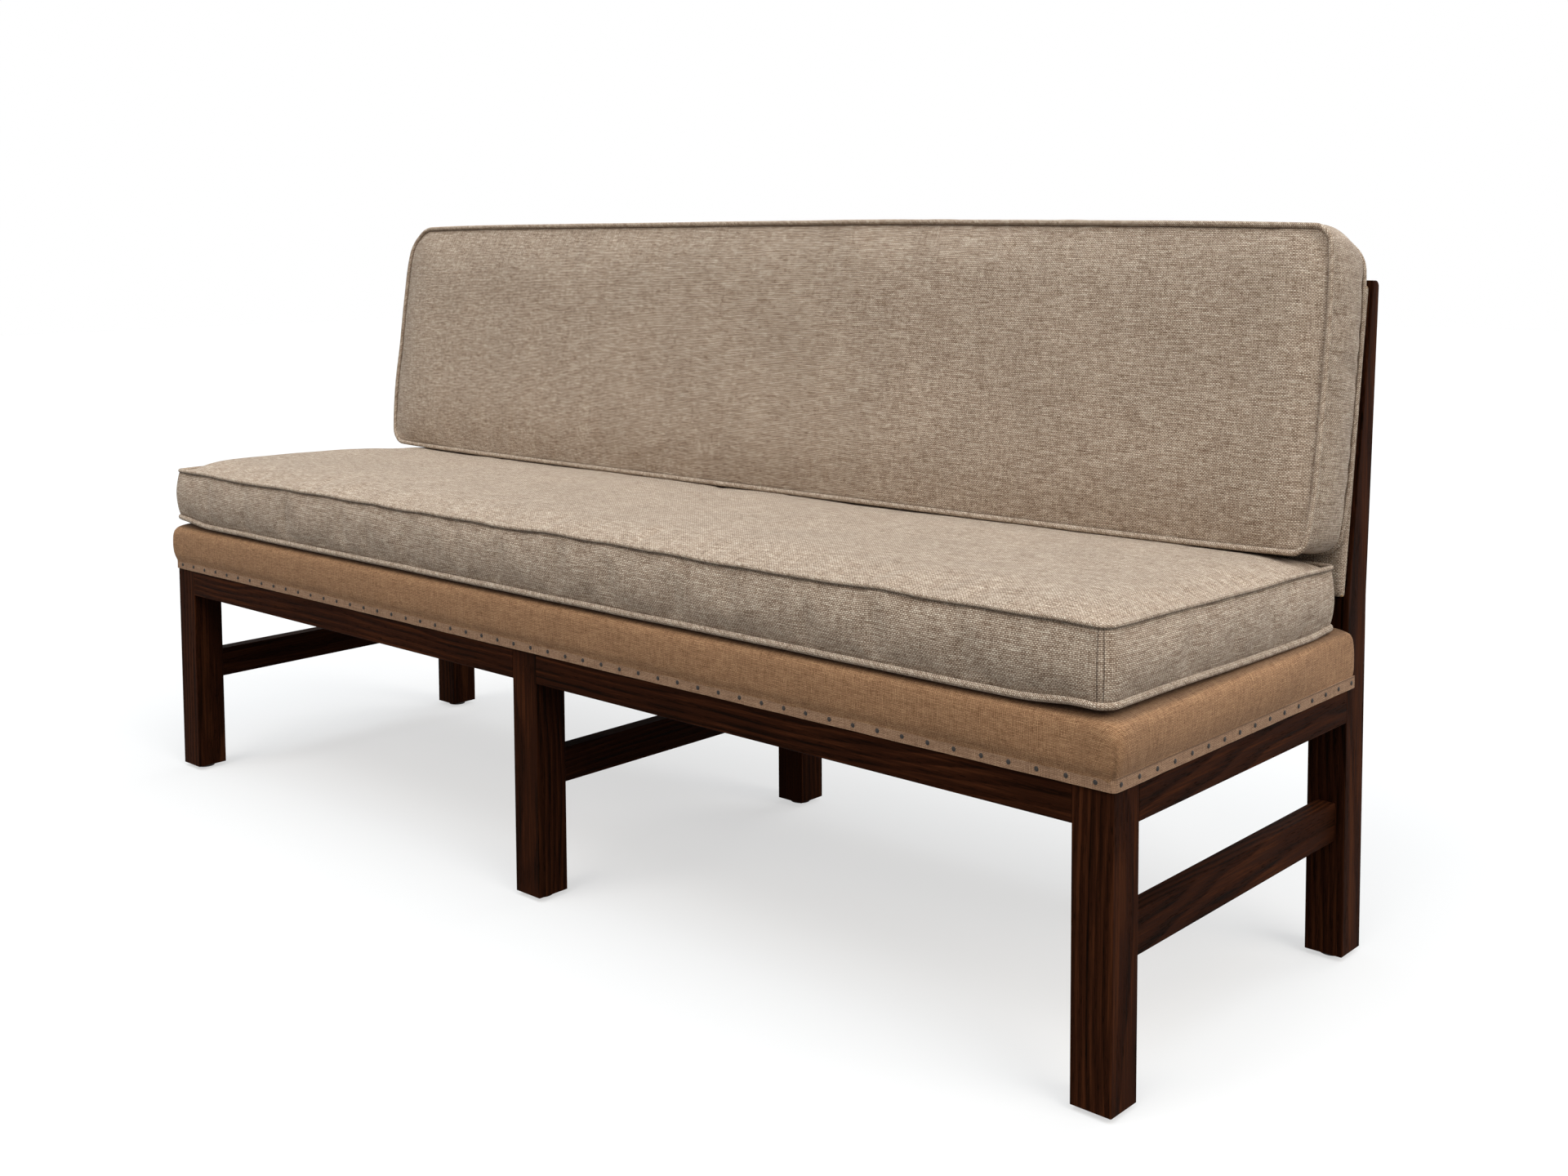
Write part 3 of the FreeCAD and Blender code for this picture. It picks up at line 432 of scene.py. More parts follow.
oakUpright, oakLong, oakCross = [plankMaterial(name, stainedOak, way, 0.012) for name, way in
                                 (("oakUpright", "z"), ("oakLong", "x"), ("oakCross", "y"))]
blockWood = plankMaterial("blockWood", paleHardwood, "z", 0.2)
boardPly = plankMaterial("boardPly", plywoodFace, "x", 0.2)
tweedCloth = clothMaterial("tweedCloth", cushionTweed)
seatTweed = clothMaterial("seatTweed", {**cushionTweed, "joint": (0.9085, 0.9155)})
hessianCloth = clothMaterial("hessianCloth", deckHessian)
tapeCloth = clothMaterial("tapeCloth", edgeTape)
juteStrap = clothMaterial("juteStrap", strapJute)
canvasCloth = clothMaterial("canvasCloth", baseCanvas)
darkTack = handledMaterial("darkTack", rgb(20, 15, 12), rgb(46, 37, 31), 0.002, 0.6, 0.3)
brightScrew = handledMaterial("brightScrew", rgb(168, 164, 156), rgb(120, 116, 108), 0.003, 0.35, 0.95)
glidePlastic = handledMaterial("glidePlastic", rgb(38, 34, 32), rgb(66, 60, 56), 0.006, 0.55, 0.0)

ends, thirds = ("left", "right"), ("left", "middle", "right")
finishes = {
    oakUpright: [part + side for part in ("front_leg_", "rear_post_") for side in thirds],
    oakLong: [part + side for part in ("front_apron_", "rear_apron_", "back_top_rail_", "back_bottom_rail_")
              for side in ends],
    oakCross: ["side_apron_" + side for side in ends] + ["stretcher_" + side for side in thirds]
    + ["middle_cross_rail"],
    blockWood: ["corner_blocks"], boardPly: ["back_panel_board"],
    brightScrew: ["corner_block_screws", "back_panel_screws", "glide_nails"],
    glidePlastic: ["leg_glides"],
}
for material, names in finishes.items():
    for name in names:
        wear(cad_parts[name], material)
print("materials ready")


# cushions

stuffing = {
    "quality": 4, "mass": 0.4, "tension_stiffness": 12, "compression_stiffness": 6, "shear_stiffness": 4,
    "bending_stiffness": 0.6, "vertex_group_mass": "sewn", "use_pressure": True, "uniform_pressure_force": 4.0,
    "shrink_min": -0.012,
}
stuffingFrames = 20


def gridBlank(name, cellsX, cellsY):
    letGo()
    bpy.ops.mesh.primitive_grid_add(x_subdivisions=cellsX, y_subdivisions=cellsY, size=2)
    blank = nameActive(name)
    cells = [(round((vertex.co.x + 1) / 2 * cellsX), round((vertex.co.y + 1) / 2 * cellsY))
             for vertex in blank.data.vertices]
    return blank, cells


def cushionBlank(name, across, along, up):
    # a top sheet and a bottom sheet of loose cells, joined by a band
    lastX, lastY, topRow = len(across) - 1, len(along) - 1, len(up) - 1
    blank = gridBlank(name, lastX, lastY)[0]
    editMode()
    pickAll()
    bpy.ops.mesh.duplicate_move(TRANSFORM_OT_translate={"value": (0, 0, -1)})
    pickAll()
    bpy.ops.mesh.region_to_loop()
    bpy.ops.mesh.bridge_edge_loops(number_cuts=topRow - 1)
    faceOut()
    objectMode()
    cells = [(round((vertex.co.x + 1) / 2 * lastX), round((vertex.co.y + 1) / 2 * lastY),
              round((vertex.co.z + 1) * topRow)) for vertex in blank.data.vertices]
    return blank, cells


def seamLines(size, cell, closeSteps):
    # lines across a panel, closer together beside its seams
    inner = size - 2 * closeSteps[-1]
    count = max(2, round(inner / cell))
    lines = [0.0] + list(closeSteps)
    lines += [closeSteps[-1] + inner * step / count for step in range(1, count)]
    lines += [size - step for step in reversed(closeSteps)] + [size]
    return lines


def roundedSpot(x, y, halfX, halfY, radius):
    # slides a point of a rectangle into one with round corners
    u = (abs(x) - (halfX - radius)) / radius
    v = (abs(y) - (halfY - radius)) / radius
    if u <= 0 or v <= 0:
        return x, y
    newX = halfX - radius + radius * u * math.sqrt(1 - v * v / 2)
    newY = halfY - radius + radius * v * math.sqrt(1 - u * u / 2)
    return math.copysign(newX, x), math.copysign(newY, y)


def crownShare(x, y, halfX, halfY, run):
    def rise(gap):
        return 1 - (1 - min(max(gap / run, 0.0), 1.0)) ** 3
    return rise(halfX - abs(x)) * rise(halfY - abs(y))


def markShadeAndStripes(piece, shadeAndStripes):
    # each point's share of the mark colour: painted shade, a woven stripe, a seam line
    attribute = piece.data.attributes.new("shadeAndStripe", "FLOAT", "POINT")
    for index, value in enumerate(shadeAndStripes):
        attribute.data[index].value = value


def mapCushion(piece, mapped, halfX, halfY, turnedEnds):
    # the cloth's own map in metres: panels in the middle, the band beside them
    bandFrom, endsFrom = 2, 3
    layer = piece.data.uv_layers.new(name="cloth")
    for polygon in piece.data.polygons:
        corners = [piece.data.loops[loop].vertex_index for loop in polygon.loop_indices]
        band = all(mapped[corner][0] for corner in corners)
        middle = polygon.center
        frontBack = halfY - abs(middle.y) < halfX - abs(middle.x)
        for loop, corner in zip(polygon.loop_indices, corners):
            flatX, flatY, height = mapped[corner][1:]
            if band and turnedEnds and not frontBack:
                layer.data[loop].uv = (height + bandFrom, flatY + endsFrom)
            elif band:
                layer.data[loop].uv = (flatX if frontBack else flatY + endsFrom, height + bandFrom)
            else:
                layer.data[loop].uv = (flatX, flatY)


def stuffCushion(piece, pinned, cap):
    # lets the cover swell over its filling, held at the seams and where it rests
    piece.vertex_groups.new(name="sewn").add(pinned, 1.0, "REPLACE")
    before = [vertex.co.copy() for vertex in piece.data.vertices]
    cloth = piece.modifiers.new("Stuffing", "CLOTH")
    setUp(cloth.settings, stuffing)
    cloth.settings.effector_weights.gravity = 0
    cloth.point_cache.frame_start = 1
    cloth.point_cache.frame_end = stuffingFrames
    for step in range(1, stuffingFrames + 1):
        scene.frame_set(step)
    takeHold(piece)
    bpy.ops.object.modifier_apply(modifier=cloth.name)
    scene.frame_set(1)
    largest = 0.0
    for vertex, start in zip(piece.data.vertices, before):
        move = vertex.co - start
        largest = max(largest, move.length)
        if move.length > 1e-7:
            vertex.co = start + move * (cap * math.tanh(move.length / cap) / move.length)
    piece.vertex_groups.clear()
    print("stuffed", piece.name, "largest swell", round(largest * 1000, 1), "mm")


def makeCushion(name, look):
    # modelled flat, X along the bench, Y over the panel, Z through the cushion, then set in place
    across, along, up = [seamLines(look[size], look["cell"], look["closeSteps"])
                         for size in ("length", "width", "bandHeight")]
    halfX, halfY, band = look["length"] / 2, look["width"] / 2, look["bandHeight"]
    lastX, lastY, topRow = len(across) - 1, len(along) - 1, len(up) - 1
    seed, bigWave, smallWave = look["seed"], *look["seamWaves"]
    piece, cells = cushionBlank(name, across, along, up)
    pinned, shadeAndStripes, mapped, seams = [], [], [], {0: {}, topRow: {}}
    for index, (i, j, k) in enumerate(cells):
        flatX, flatY = across[i] - halfX, along[j] - halfY
        onRight, behind = int(flatX >= 0), int(flatY >= 0)
        nearX, nearY = halfX - abs(flatX), halfY - abs(flatY)
        onEdge = i in (0, lastX) or j in (0, lastY)
        share = up[k] / band if onEdge else k / topRow
        cornerLow, cornerHigh = look["corner"][onRight + 2 * behind]
        corner = cornerLow + (cornerHigh - cornerLow) * share
        x, y = roundedSpot(flatX, flatY, halfX, halfY, corner)
        # ends and long sides draw in towards the corners
        x *= 1 - look["drawIn"][0] / halfX * (flatY / halfY) ** 4
        y *= 1 - look["drawIn"][1] / halfY * (flatX / halfX) ** 8
        if not onRight:
            slack = look["leftSlack"][0] + look["leftSlack"][1] * ramp(flatY, 0, halfY) ** 2
            x += slack * (flatX / halfX) ** 4
        y += look["topBow"] * (1 - ramp(flatX, *look["bowRun"])) * ramp(flatY, 0, halfY)
        lean = look["topLean"] * -flatY / halfY
        # the lower seam lifts at the corners and sags at the right end
        lift = look["cornerLift"][onRight] * ramp(abs(flatX), halfX - look["cornerRun"], halfX)
        lift *= ramp(-flatY, -halfY, halfY)
        lift += look["frontLift"] * ramp(-flatY, halfY - look["frontRun"], halfY)
        endFade = 1 - ramp(flatY, *(halfY - gap for gap in look["endFade"]))
        lift += look["endLift"] * ramp(flatX, halfX - look["endRun"], halfX) * endFade
        seamLow = look["seamLow"] + lift
        gap = min(nearX, nearY)
        if onEdge:
            gap = min(up[k], band - up[k])
            z = seamLow + up[k] + (lean - lift) * up[k] / band
            push = Vector((math.copysign(max(0, 1 - nearX / corner), flatX),
                           math.copysign(max(0, 1 - nearY / corner), flatY), 0)).normalized()
            bulge, lowPinch, highPinch = [look[key][onRight] * push.x ** 2 + look[key][2 + behind] * push.y ** 2
                                          for key in ("bulge", "lowPinch", "highPinch")]
            puff = -(highPinch if k else lowPinch)
            if k not in seams:
                puff = bulge * math.sin(math.pi * share ** 0.7) ** 0.8
            puff += look["ripple"] * wander(x + y * 0.3, z * 2.5, look["bandWave"], seed) * math.sin(math.pi * share)
            upper = int(k > topRow / 2)
            seamSeed = seed + (3, 7)[upper]
            edgeWave = wander(x, y, bigWave, seamSeed) + 0.7 * wander(x, y, smallWave, seamSeed + 1)
            z += look["seamWave"][upper] * edgeWave * (1 if k in seams else math.cos(math.pi * share) ** 2)
            x += push.x * puff
            y += push.y * puff
            if k in seams:
                seams[k][(i, j)] = index
            if k in seams or look["stands"] and push.y < -0.5:
                pinned.append(index)
        elif k == topRow:
            rise = crownShare(flatX, flatY, halfX, halfY, look["crownRun"])
            z = look["seamLow"] + band + lean + look["crown"] * rise
            z -= look["rearSink"] * ramp(flatY, *look["sinkRun"])
            wave = wander(x, y * 0.8, look["panelWaves"][0], seed) + 0.5 * wander(x, y, look["panelWaves"][1], seed + 2)
            z += look["ripple"] * rise * wave
        else:
            z = seamLow * (1 - crownShare(flatX, flatY, halfX, halfY, look["restRun"]))
            pinned.append(index)
        # painted shade beside the seams, strongest at the seam and fading inwards
        shadeAndStripes.append((1 - ramp(gap, 0.0, look["seamShadeWidth"])) * look["bandSeamShade" if onEdge else "panelSeamShade"])
        mapped.append((onEdge, flatX, flatY, up[k]))
        piece.data.vertices[index].co = (x, y, z)
    piece.data.update()
    markShadeAndStripes(piece, shadeAndStripes)
    mapCushion(piece, mapped, halfX, halfY, look["turnedEnds"])
    stuffCushion(piece, pinned, look["swellCap"])
    rim = [(i, 0) for i in range(lastX)] + [(lastX, j) for j in range(lastY)]
    rim += [(i, lastY) for i in range(lastX, 0, -1)] + [(0, j) for j in range(lastY, 0, -1)]
    lowRow, highRow = [[look["place"] @ piece.data.vertices[seams[k][spot]].co for spot in rim] for k in (0, topRow)]
    smoothOnce(piece)
    piece.data.transform(look["place"])
    return dress(piece, look["cloth"], 180), lowRow, highRow


def makeWelt(name, row, place, look):
    # a fabric-covered cord sewn round a seam, its cloth cut on the bias
    biasCut, mapFrom, insideCushion = 0.7071, 5, Vector((0, 0, 0.05))
    centre, up = place @ insideCushion, place.to_3x3() @ Vector((0, 0, 1))
    curve = bpy.data.curves.new(name, "CURVE")
    setUp(curve, {"dimensions": "3D", "bevel_depth": look["thickness"] / 2, "bevel_resolution": 3})
    spline = curve.splines.new("POLY")
    spline.points.add(len(row) - 1)
    ways = [0.0]
    for index, (point, spot) in enumerate(zip(spline.points, row)):
        ahead = row[(index + 1) % len(row)]
        away = (ahead - row[index - 1]).cross(up).normalized()
        away *= math.copysign(1, away.dot(spot - centre))
        rise = math.copysign(look["rise"], up.dot(spot - centre))
        point.co = (*(spot + away * look["standOff"] + up * rise), 1)
        ways.append(ways[-1] + (ahead - spot).length)
    spline.use_cyclic_u = True
    welt = bpy.data.objects.new(name, curve)
    scene.collection.objects.link(welt)
    takeHold(welt)
    bpy.ops.object.convert(target="MESH")
    welt = bpy.context.object
    mesh = welt.data
    ringSize = len(mesh.vertices) // len(row)
    girth = math.pi * look["thickness"]
    while mesh.uv_layers:
        mesh.uv_layers.remove(mesh.uv_layers[0])
    layer = mesh.uv_layers.new(name="cloth")
    for polygon in mesh.polygons:
        rings = [mesh.loops[loop].vertex_index // ringSize for loop in polygon.loop_indices]
        steps = [mesh.loops[loop].vertex_index % ringSize for loop in polygon.loop_indices]
        for loop, ring, step in zip(polygon.loop_indices, rings, steps):
            ring = ring + len(row) if ring == 0 and max(rings) > 1 else ring
            step = step + ringSize if step == 0 and max(steps) > 1 else step
            along, around = ways[ring], girth * step / ringSize
            layer.data[loop].uv = ((along + around) * biasCut + mapFrom, (along - around) * biasCut + mapFrom)
    mesh.attributes.new("shadeAndStripe", "FLOAT", "POINT")
    return dress(welt, tweedCloth, 180)


leanAngle = math.radians(8)
leaningFrame = Matrix(((1, 0, 0, 0),
                       (0, math.sin(leanAngle), -math.cos(leanAngle), 0.23966),
                       (0, math.cos(leanAngle), math.sin(leanAngle), 0.456),
                       (0, 0, 0, 1)))
cushionBasics = {
    "cell": 0.0112, "closeSteps": (0.003, 0.0065, 0.0115, 0.018), "bandWave": 0.11, "panelWaves": (0.16, 0.07),
    "seamWaves": (0.21, 0.085), "leftSlack": (0.0, 0.0), "topBow": 0.0, "bowRun": (0.15, 0.88), "topLean": 0.0,
    "cornerLift": (0.0, 0.0), "cornerRun": 0.11, "frontLift": 0.0, "frontRun": 0.15,
    "endLift": 0.0, "endRun": 0.05, "endFade": (0.07, 0.015), "rearSink": 0.0, "sinkRun": (0.09, 0.17),
}
seatCushionLook = {
    **cushionBasics, "length": 1.836, "width": 0.515, "bandHeight": 0.0787,
    "corner": ((0.018, 0.012),) * 4, "drawIn": (0.001, 0.001), "cornerLift": (0.008, 0.0068),
    "frontLift": -0.0003, "endLift": -0.003, "rearSink": 0.005,
    "topLean": 0.006, "seamLow": 0.0050, "bulge": (0.0095, 0.005, 0.004, 0.004),
    "lowPinch": (0.0005, 0.0015, 0.0022, 0.0022), "highPinch": (0.0075, 0.0025, 0.0022, 0.0022),
    "crown": 0.0125, "crownRun": 0.095, "restRun": 0.08, "ripple": 0.0022, "seamWave": (0.0006, 0.0034),
    "seamShadeWidth": 0.005, "bandSeamShade": 0.45, "panelSeamShade": 0.1, "swellCap": 0.008, "seed": 4.3,
    "stands": False, "turnedEnds": False, "cloth": seatTweed, "place": Matrix.Translation((0, -0.04184, 0.4226)),
}
backCushionLook = {
    **cushionBasics, "length": 1.842, "width": 0.397, "bandHeight": 0.090,
    "corner": ((0.028, 0.022), (0.020, 0.013), (0.058, 0.046), (0.040, 0.018)),
    "drawIn": (0.009, 0.004), "leftSlack": (0.003, 0.006), "topBow": 0.008,
    "seamLow": 0.008, "bulge": (0.004, 0.004, 0.003, 0.006), "lowPinch": (0.0022,) * 4, "highPinch": (0.0022,) * 4,
    "crown": 0.0085, "crownRun": 0.1, "restRun": 0.12, "ripple": 0.003, "seamWave": (0.003, 0.003),
    "seamShadeWidth": 0.0055, "bandSeamShade": 0.3, "panelSeamShade": 0.45, "swellCap": 0.009, "seed": 21.7,
    "stands": True, "turnedEnds": True, "cloth": tweedCloth,
    "place": leaningFrame @ Matrix.Translation((0, 0.25082, 0.0088)),
}
fineWelt = {"thickness": 0.0060, "standOff": 0.0028, "rise": 0.0009}
backWelt = {"thickness": 0.0074, "standOff": 0.0032, "rise": 0.0014}
fullWelt = {"thickness": 0.0084, "standOff": 0.0036, "rise": 0.0004}

seatCushion, seatLow, seatHigh = makeCushion("seatCushionPad", seatCushionLook)
backCushion, backLow, backHigh = makeCushion("backCushionPad", backCushionLook)
for name, row, look, weltLook, body, side in (
        ("seatTopWelt", seatHigh, seatCushionLook, fineWelt, "seat_cushion", "_top_welt"),
        ("seatBottomWelt", seatLow, seatCushionLook, fullWelt, "seat_cushion", "_bottom_welt"),
        ("backFrontWelt", backHigh, backCushionLook, backWelt, "back_cushion", "_front_welt"),
        ("backRearWelt", backLow, backCushionLook, fineWelt, "back_cushion", "_rear_welt")):
    handOver(makeWelt(name, row, look["place"], weltLook), body, "cushion_fabric", body + side)
for piece, body in ((seatCushion, "seat_cushion"), (backCushion, "back_cushion")):
    handOver(piece, body, "cushion_fabric", body + "_cover", body + "_core")
print("cushions done")


# seat deck

def layCloth(piece, flatSpots, shadeAndStripes=None):
    # the cloth's own map in metres
    markShadeAndStripes(piece, shadeAndStripes or [0.0] * len(flatSpots))
    layer = piece.data.uv_layers.new(name="cloth")
    for loop in piece.data.loops:
        layer.data[loop.index].uv = flatSpots[loop.vertex_index]


def cornerSpot(reachX, reachY, radius, share):
    # a point on the way round a corner, share 0 on its X side and 1 on its Y side
    radius = min(radius, reachX, reachY)
    first, arc, last = reachY - radius, radius * math.pi / 2, reachX - radius
    way = share * (first + arc + last)
    if way <= first:
        return reachX, way
    if way <= first + arc:
        turn = (way - first) / radius
        return last + radius * math.cos(turn), first + radius * math.sin(turn)
    return last - (way - first - arc), reachY


def runLengths(rows):
    lengths, last = [0.0], (0.0, rows[0][1])
    for out, height in (row[:2] for row in rows):
        lengths.append(lengths[-1] + math.hypot(out - last[0], height - last[1]))
        last = (out, height)
    return lengths


def rolledSheet(name, look, rows):
    # a sheet that lies flat on its core and rolls over each side by that side's rows (out, height, corner)
    low, high = look["core"]
    depth = len(rows["side"])
    cellsX, cellsY = look["cells"]
    piece, spots = gridBlank(name, cellsX + 2 * depth, cellsY + 2 * depth)
    runs = {side: runLengths(rows[side]) for side in rows}
    flatSpots = []
    for index, (i, j) in enumerate(spots):
        sideRow = max(depth - i, i - depth - cellsX, 0)
        endRow = max(depth - j, j - depth - cellsY, 0)
        signX = -1 if i < depth else 1
        end, signY = ("front", -1) if j < depth else ("rear", 1)
        x = low[0] + (high[0] - low[0]) * min(max((i - depth) / cellsX, 0), 1)
        y = low[1] + (high[1] - low[1]) * min(max((j - depth) / cellsY, 0), 1)
        flatSpots.append((x + signX * runs["side"][sideRow], y + signY * runs[end][endRow]))
        outX, outY, z = 0, 0, look["top"]
        if sideRow and endRow:
            ring = max(sideRow, endRow)
            share = 0.5 * endRow / sideRow if sideRow >= endRow else 1 - 0.5 * sideRow / endRow
            sideOut, sideHeight, corner = rows["side"][ring - 1]
            endOut, endHeight = rows[end][ring - 1][:2]
            outX, outY = cornerSpot(sideOut, endOut, corner, share)
            z = sideHeight + (endHeight - sideHeight) * ramp(share, 0.45, 0.85)
        elif sideRow:
            outX, z = rows["side"][sideRow - 1][:2]
        elif endRow:
            outY, z = rows[end][endRow - 1][:2]
        piece.data.vertices[index].co = (x + signX * outX, y + signY * outY, z)
    layCloth(piece, flatSpots)
    return piece


postNotches = [(-0.9256, -0.8744), (-0.0256, 0.0256), (0.8744, 0.9256)]
notchFront, notchReach = 0.2391, 0.04


def cutNotches(piece):
    # trims a sheet round the rear posts
    takeHold(piece)
    planes = sorted({edge for notch in postNotches for edge in notch})
    for place, axis in [((0, notchFront, 0), (0, 1, 0))] + [((edge, 0, 0), (1, 0, 0)) for edge in planes]:
        for polygon in piece.data.polygons:
            polygon.select = polygon.center.y > notchFront - notchReach
        editMode()
        bpy.ops.mesh.select_mode(type="FACE")
        bpy.ops.mesh.bisect(plane_co=place, plane_no=axis, threshold=0.00001)
        bpy.ops.mesh.select_all(action="DESELECT")
        objectMode()
    for polygon in piece.data.polygons:
        spot = polygon.center
        polygon.select = spot.y > notchFront and any(left < spot.x < right for left, right in postNotches)
    editMode()
    bpy.ops.mesh.delete(type="FACE")
    objectMode()


deckLook = {
    "core": ((-0.880, -0.25134), (0.880, 0.2247)), "cells": (84, 22), "top": 0.4219, "wall": 0.0012,
    "lump": 0.0011, "lumpSize": 0.13, "lumpRise": (0.362, 0.385), "flatFrom": 0.4175, "rearFrom": 0.21,
    "pucker": 0.0005, "tackPitch": 0.0355, "puckerLow": (0.3605, 0.366), "puckerHigh": (0.37, 0.395),
    "fold": 0.0008, "foldTop": 0.402, "foldRun": 0.012, "foldReach": 0.02, "foldShade": 0.5,
    "foldLine": (0.0004, 0.0026), "foldDip": (0.0, 0.003), "foldShoulder": (0.004, 0.012),
    "postFace": 0.9266, "sideThin": 0.2, "rearThin": 0.7, "thinRun": (0.03, 0.236),
    "rimShade": 0.5, "rimRise": (0.4145, 0.4180), "rimOut": (0.010, 0.034),
    "edge": [
        (0.0086, 0.4219, 0.004), (0.0240, 0.4216, 0.008), (0.0366, 0.4204, 0.012), (0.0455, 0.4182, 0.014),
        (0.0513, 0.4150, 0.014), (0.0554, 0.4103, 0.014), (0.0574, 0.4035, 0.013), (0.0580, 0.3950, 0.012),
        (0.0576, 0.3860, 0.010), (0.0557, 0.3780, 0.008), (0.0530, 0.3705, 0.006), (0.0500, 0.3640, 0.004),
        (0.0470, 0.3590, 0.0035), (0.0465, 0.3452, 0.0032)],
    "front": [
        (0.0086, 0.4219), (0.0240, 0.4216), (0.0356, 0.4210), (0.0434, 0.4194), (0.0487, 0.4166), (0.0519, 0.4120),
        (0.0532, 0.4050), (0.0534, 0.3960), (0.0532, 0.3868), (0.0528, 0.3784), (0.0521, 0.3708), (0.0506, 0.3645),
        (0.0475, 0.3590), (0.0465, 0.3452)],
    "rear": [
        (0.0030, 0.4218), (0.0075, 0.4212), (0.0125, 0.4200), (0.0170, 0.4180), (0.0212, 0.4152), (0.0248, 0.4112),
        (0.0274, 0.4064), (0.0290, 0.4010), (0.0297, 0.3955), (0.0298, 0.3900), (0.0297, 0.3850), (0.0292, 0.3818),
        (0.0275, 0.3802), (0.0200, 0.3801)],
}


def makeDeck(look):
    piece = rolledSheet("deckCover", look, {"side": look["edge"], "front": look["front"], "rear": look["rear"]})
    smoothOnce(piece)
    coreX, coreY = look["core"][1][0], look["core"][0][1]
    shadeAndStripe = piece.data.attributes["shadeAndStripe"]
    for vertex in piece.data.vertices:
        x, y, z = vertex.co
        outX, outY = abs(x) - coreX, coreY - y
        if min(outX, outY) > look["foldReach"]:
            # the cloth is folded and sewn down at each front corner
            offLine = abs(outX - outY) / math.sqrt(2)
            low = 1 - ramp(z, look["foldTop"] - look["foldRun"], look["foldTop"])
            # painted shade along the corner fold
            shadeAndStripe.data[vertex.index].value = look["foldShade"] * low * (1 - ramp(offLine, *look["foldLine"]))
            dip, shoulder = ramp(offLine, *look["foldDip"]), ramp(offLine, *look["foldShoulder"])
            press = look["fold"] * low * (1 - 1.5 * dip + 0.5 * shoulder)
            vertex.co.x -= math.copysign(press, x)
            vertex.co.y += press
            x, y, z = vertex.co
        beyond = abs(x) - look["postFace"]
        if beyond > 0:
            # thinner beside the rear posts
            thin = look["sideThin"] + look["rearThin"] * ramp(y, *look["thinRun"])
            vertex.co.x = math.copysign(look["postFace"] + beyond * (1 - thin), x)
            x = vertex.co.x
        # painted shade on the deck's top rim, under the cushion's edge
        rim = look["rimShade"] * ramp(z, *look["rimRise"]) * ramp(max(outX, outY), *look["rimOut"])
        shadeAndStripe.data[vertex.index].value = max(shadeAndStripe.data[vertex.index].value, rim)
        lump = look["lump"] * wander(x, y, look["lumpSize"], z * 8) * ramp(z, *look["lumpRise"])
        pucker = look["pucker"] * math.cos(2 * math.pi * (x + y) / look["tackPitch"])
        pucker *= ramp(z, *look["puckerLow"]) * (1 - ramp(z, *look["puckerHigh"]))
        if z > look["flatFrom"]:
            vertex.co.z += min(lump, 0.0)
        elif y <= look["rearFrom"] and abs(x) - coreX > coreY - y:
            vertex.co.x += math.copysign(lump + pucker, x)
        elif y <= look["rearFrom"]:
            vertex.co.y -= lump + pucker
    cutNotches(piece)
    finishWith(piece, "SOLIDIFY", thickness=look["wall"], offset=-1, use_even_offset=True)
    return dress(piece, hessianCloth, 60)


deckCover = makeDeck(deckLook)
handOver(deckCover, "frame", "hessian", "deck_cover", "deck_pad")
print("deck done")


# tape and tacks along the deck's lower edge

tapeLook = {
    "low": 0.3451, "high": 0.3601, "standOff": 0.00165, "wall": 0.00095, "corner": 0.0034, "rearEnd": 0.2545,
    "frontFace": -0.29634, "endFace": 0.925, "step": 0.011, "cornerSteps": 6, "waver": 0.0005, "waverSize": 0.045,
    "ripple": 0.00022, "rippleSize": 0.02,
    "levels": (0.0, 0.18, 0.42, 0.66, 0.84, 0.93, 1.0), "seam": (0.9, 0.97),
}
tackLook = {
    "radius": 0.0028, "height": 0.0014, "level": 0.3525, "pitch": 0.0355, "frontMargin": 0.01975, "sideMargin": 0.009,
    "frontCount": 52, "sideCount": 16, "seat": 0.0026, "waver": 0.0009, "tilt": 9,
}


def skirtRuns(look):
    # the tape's face, front, corner radius, and the lengths of a side, a corner and the front
    face, radius = look["endFace"] + look["standOff"], look["corner"] + look["standOff"]
    front = look["frontFace"] - look["standOff"]
    return face, front, radius, look["rearEnd"] - (front + radius), radius * math.pi / 2, 2 * (face - radius)


def skirtPath(way, look):
    # along the left side, the front and the right side of the frame; gives the place and the outward way
    face, front, radius, sideRun, arc, frontRun = skirtRuns(look)
    fromEnd = min(way, 2 * (sideRun + arc) + frontRun - way)
    side = -1 if fromEnd == way else 1
    turn = min(max(fromEnd - sideRun, 0), arc) / radius
    x = face - radius + radius * math.cos(turn) - max(fromEnd - sideRun - arc, 0)
    y = front + radius - radius * math.sin(turn) + max(sideRun - fromEnd, 0)
    return Vector((side * x, y, 0)), Vector((side * math.cos(turn), -math.sin(turn), 0))


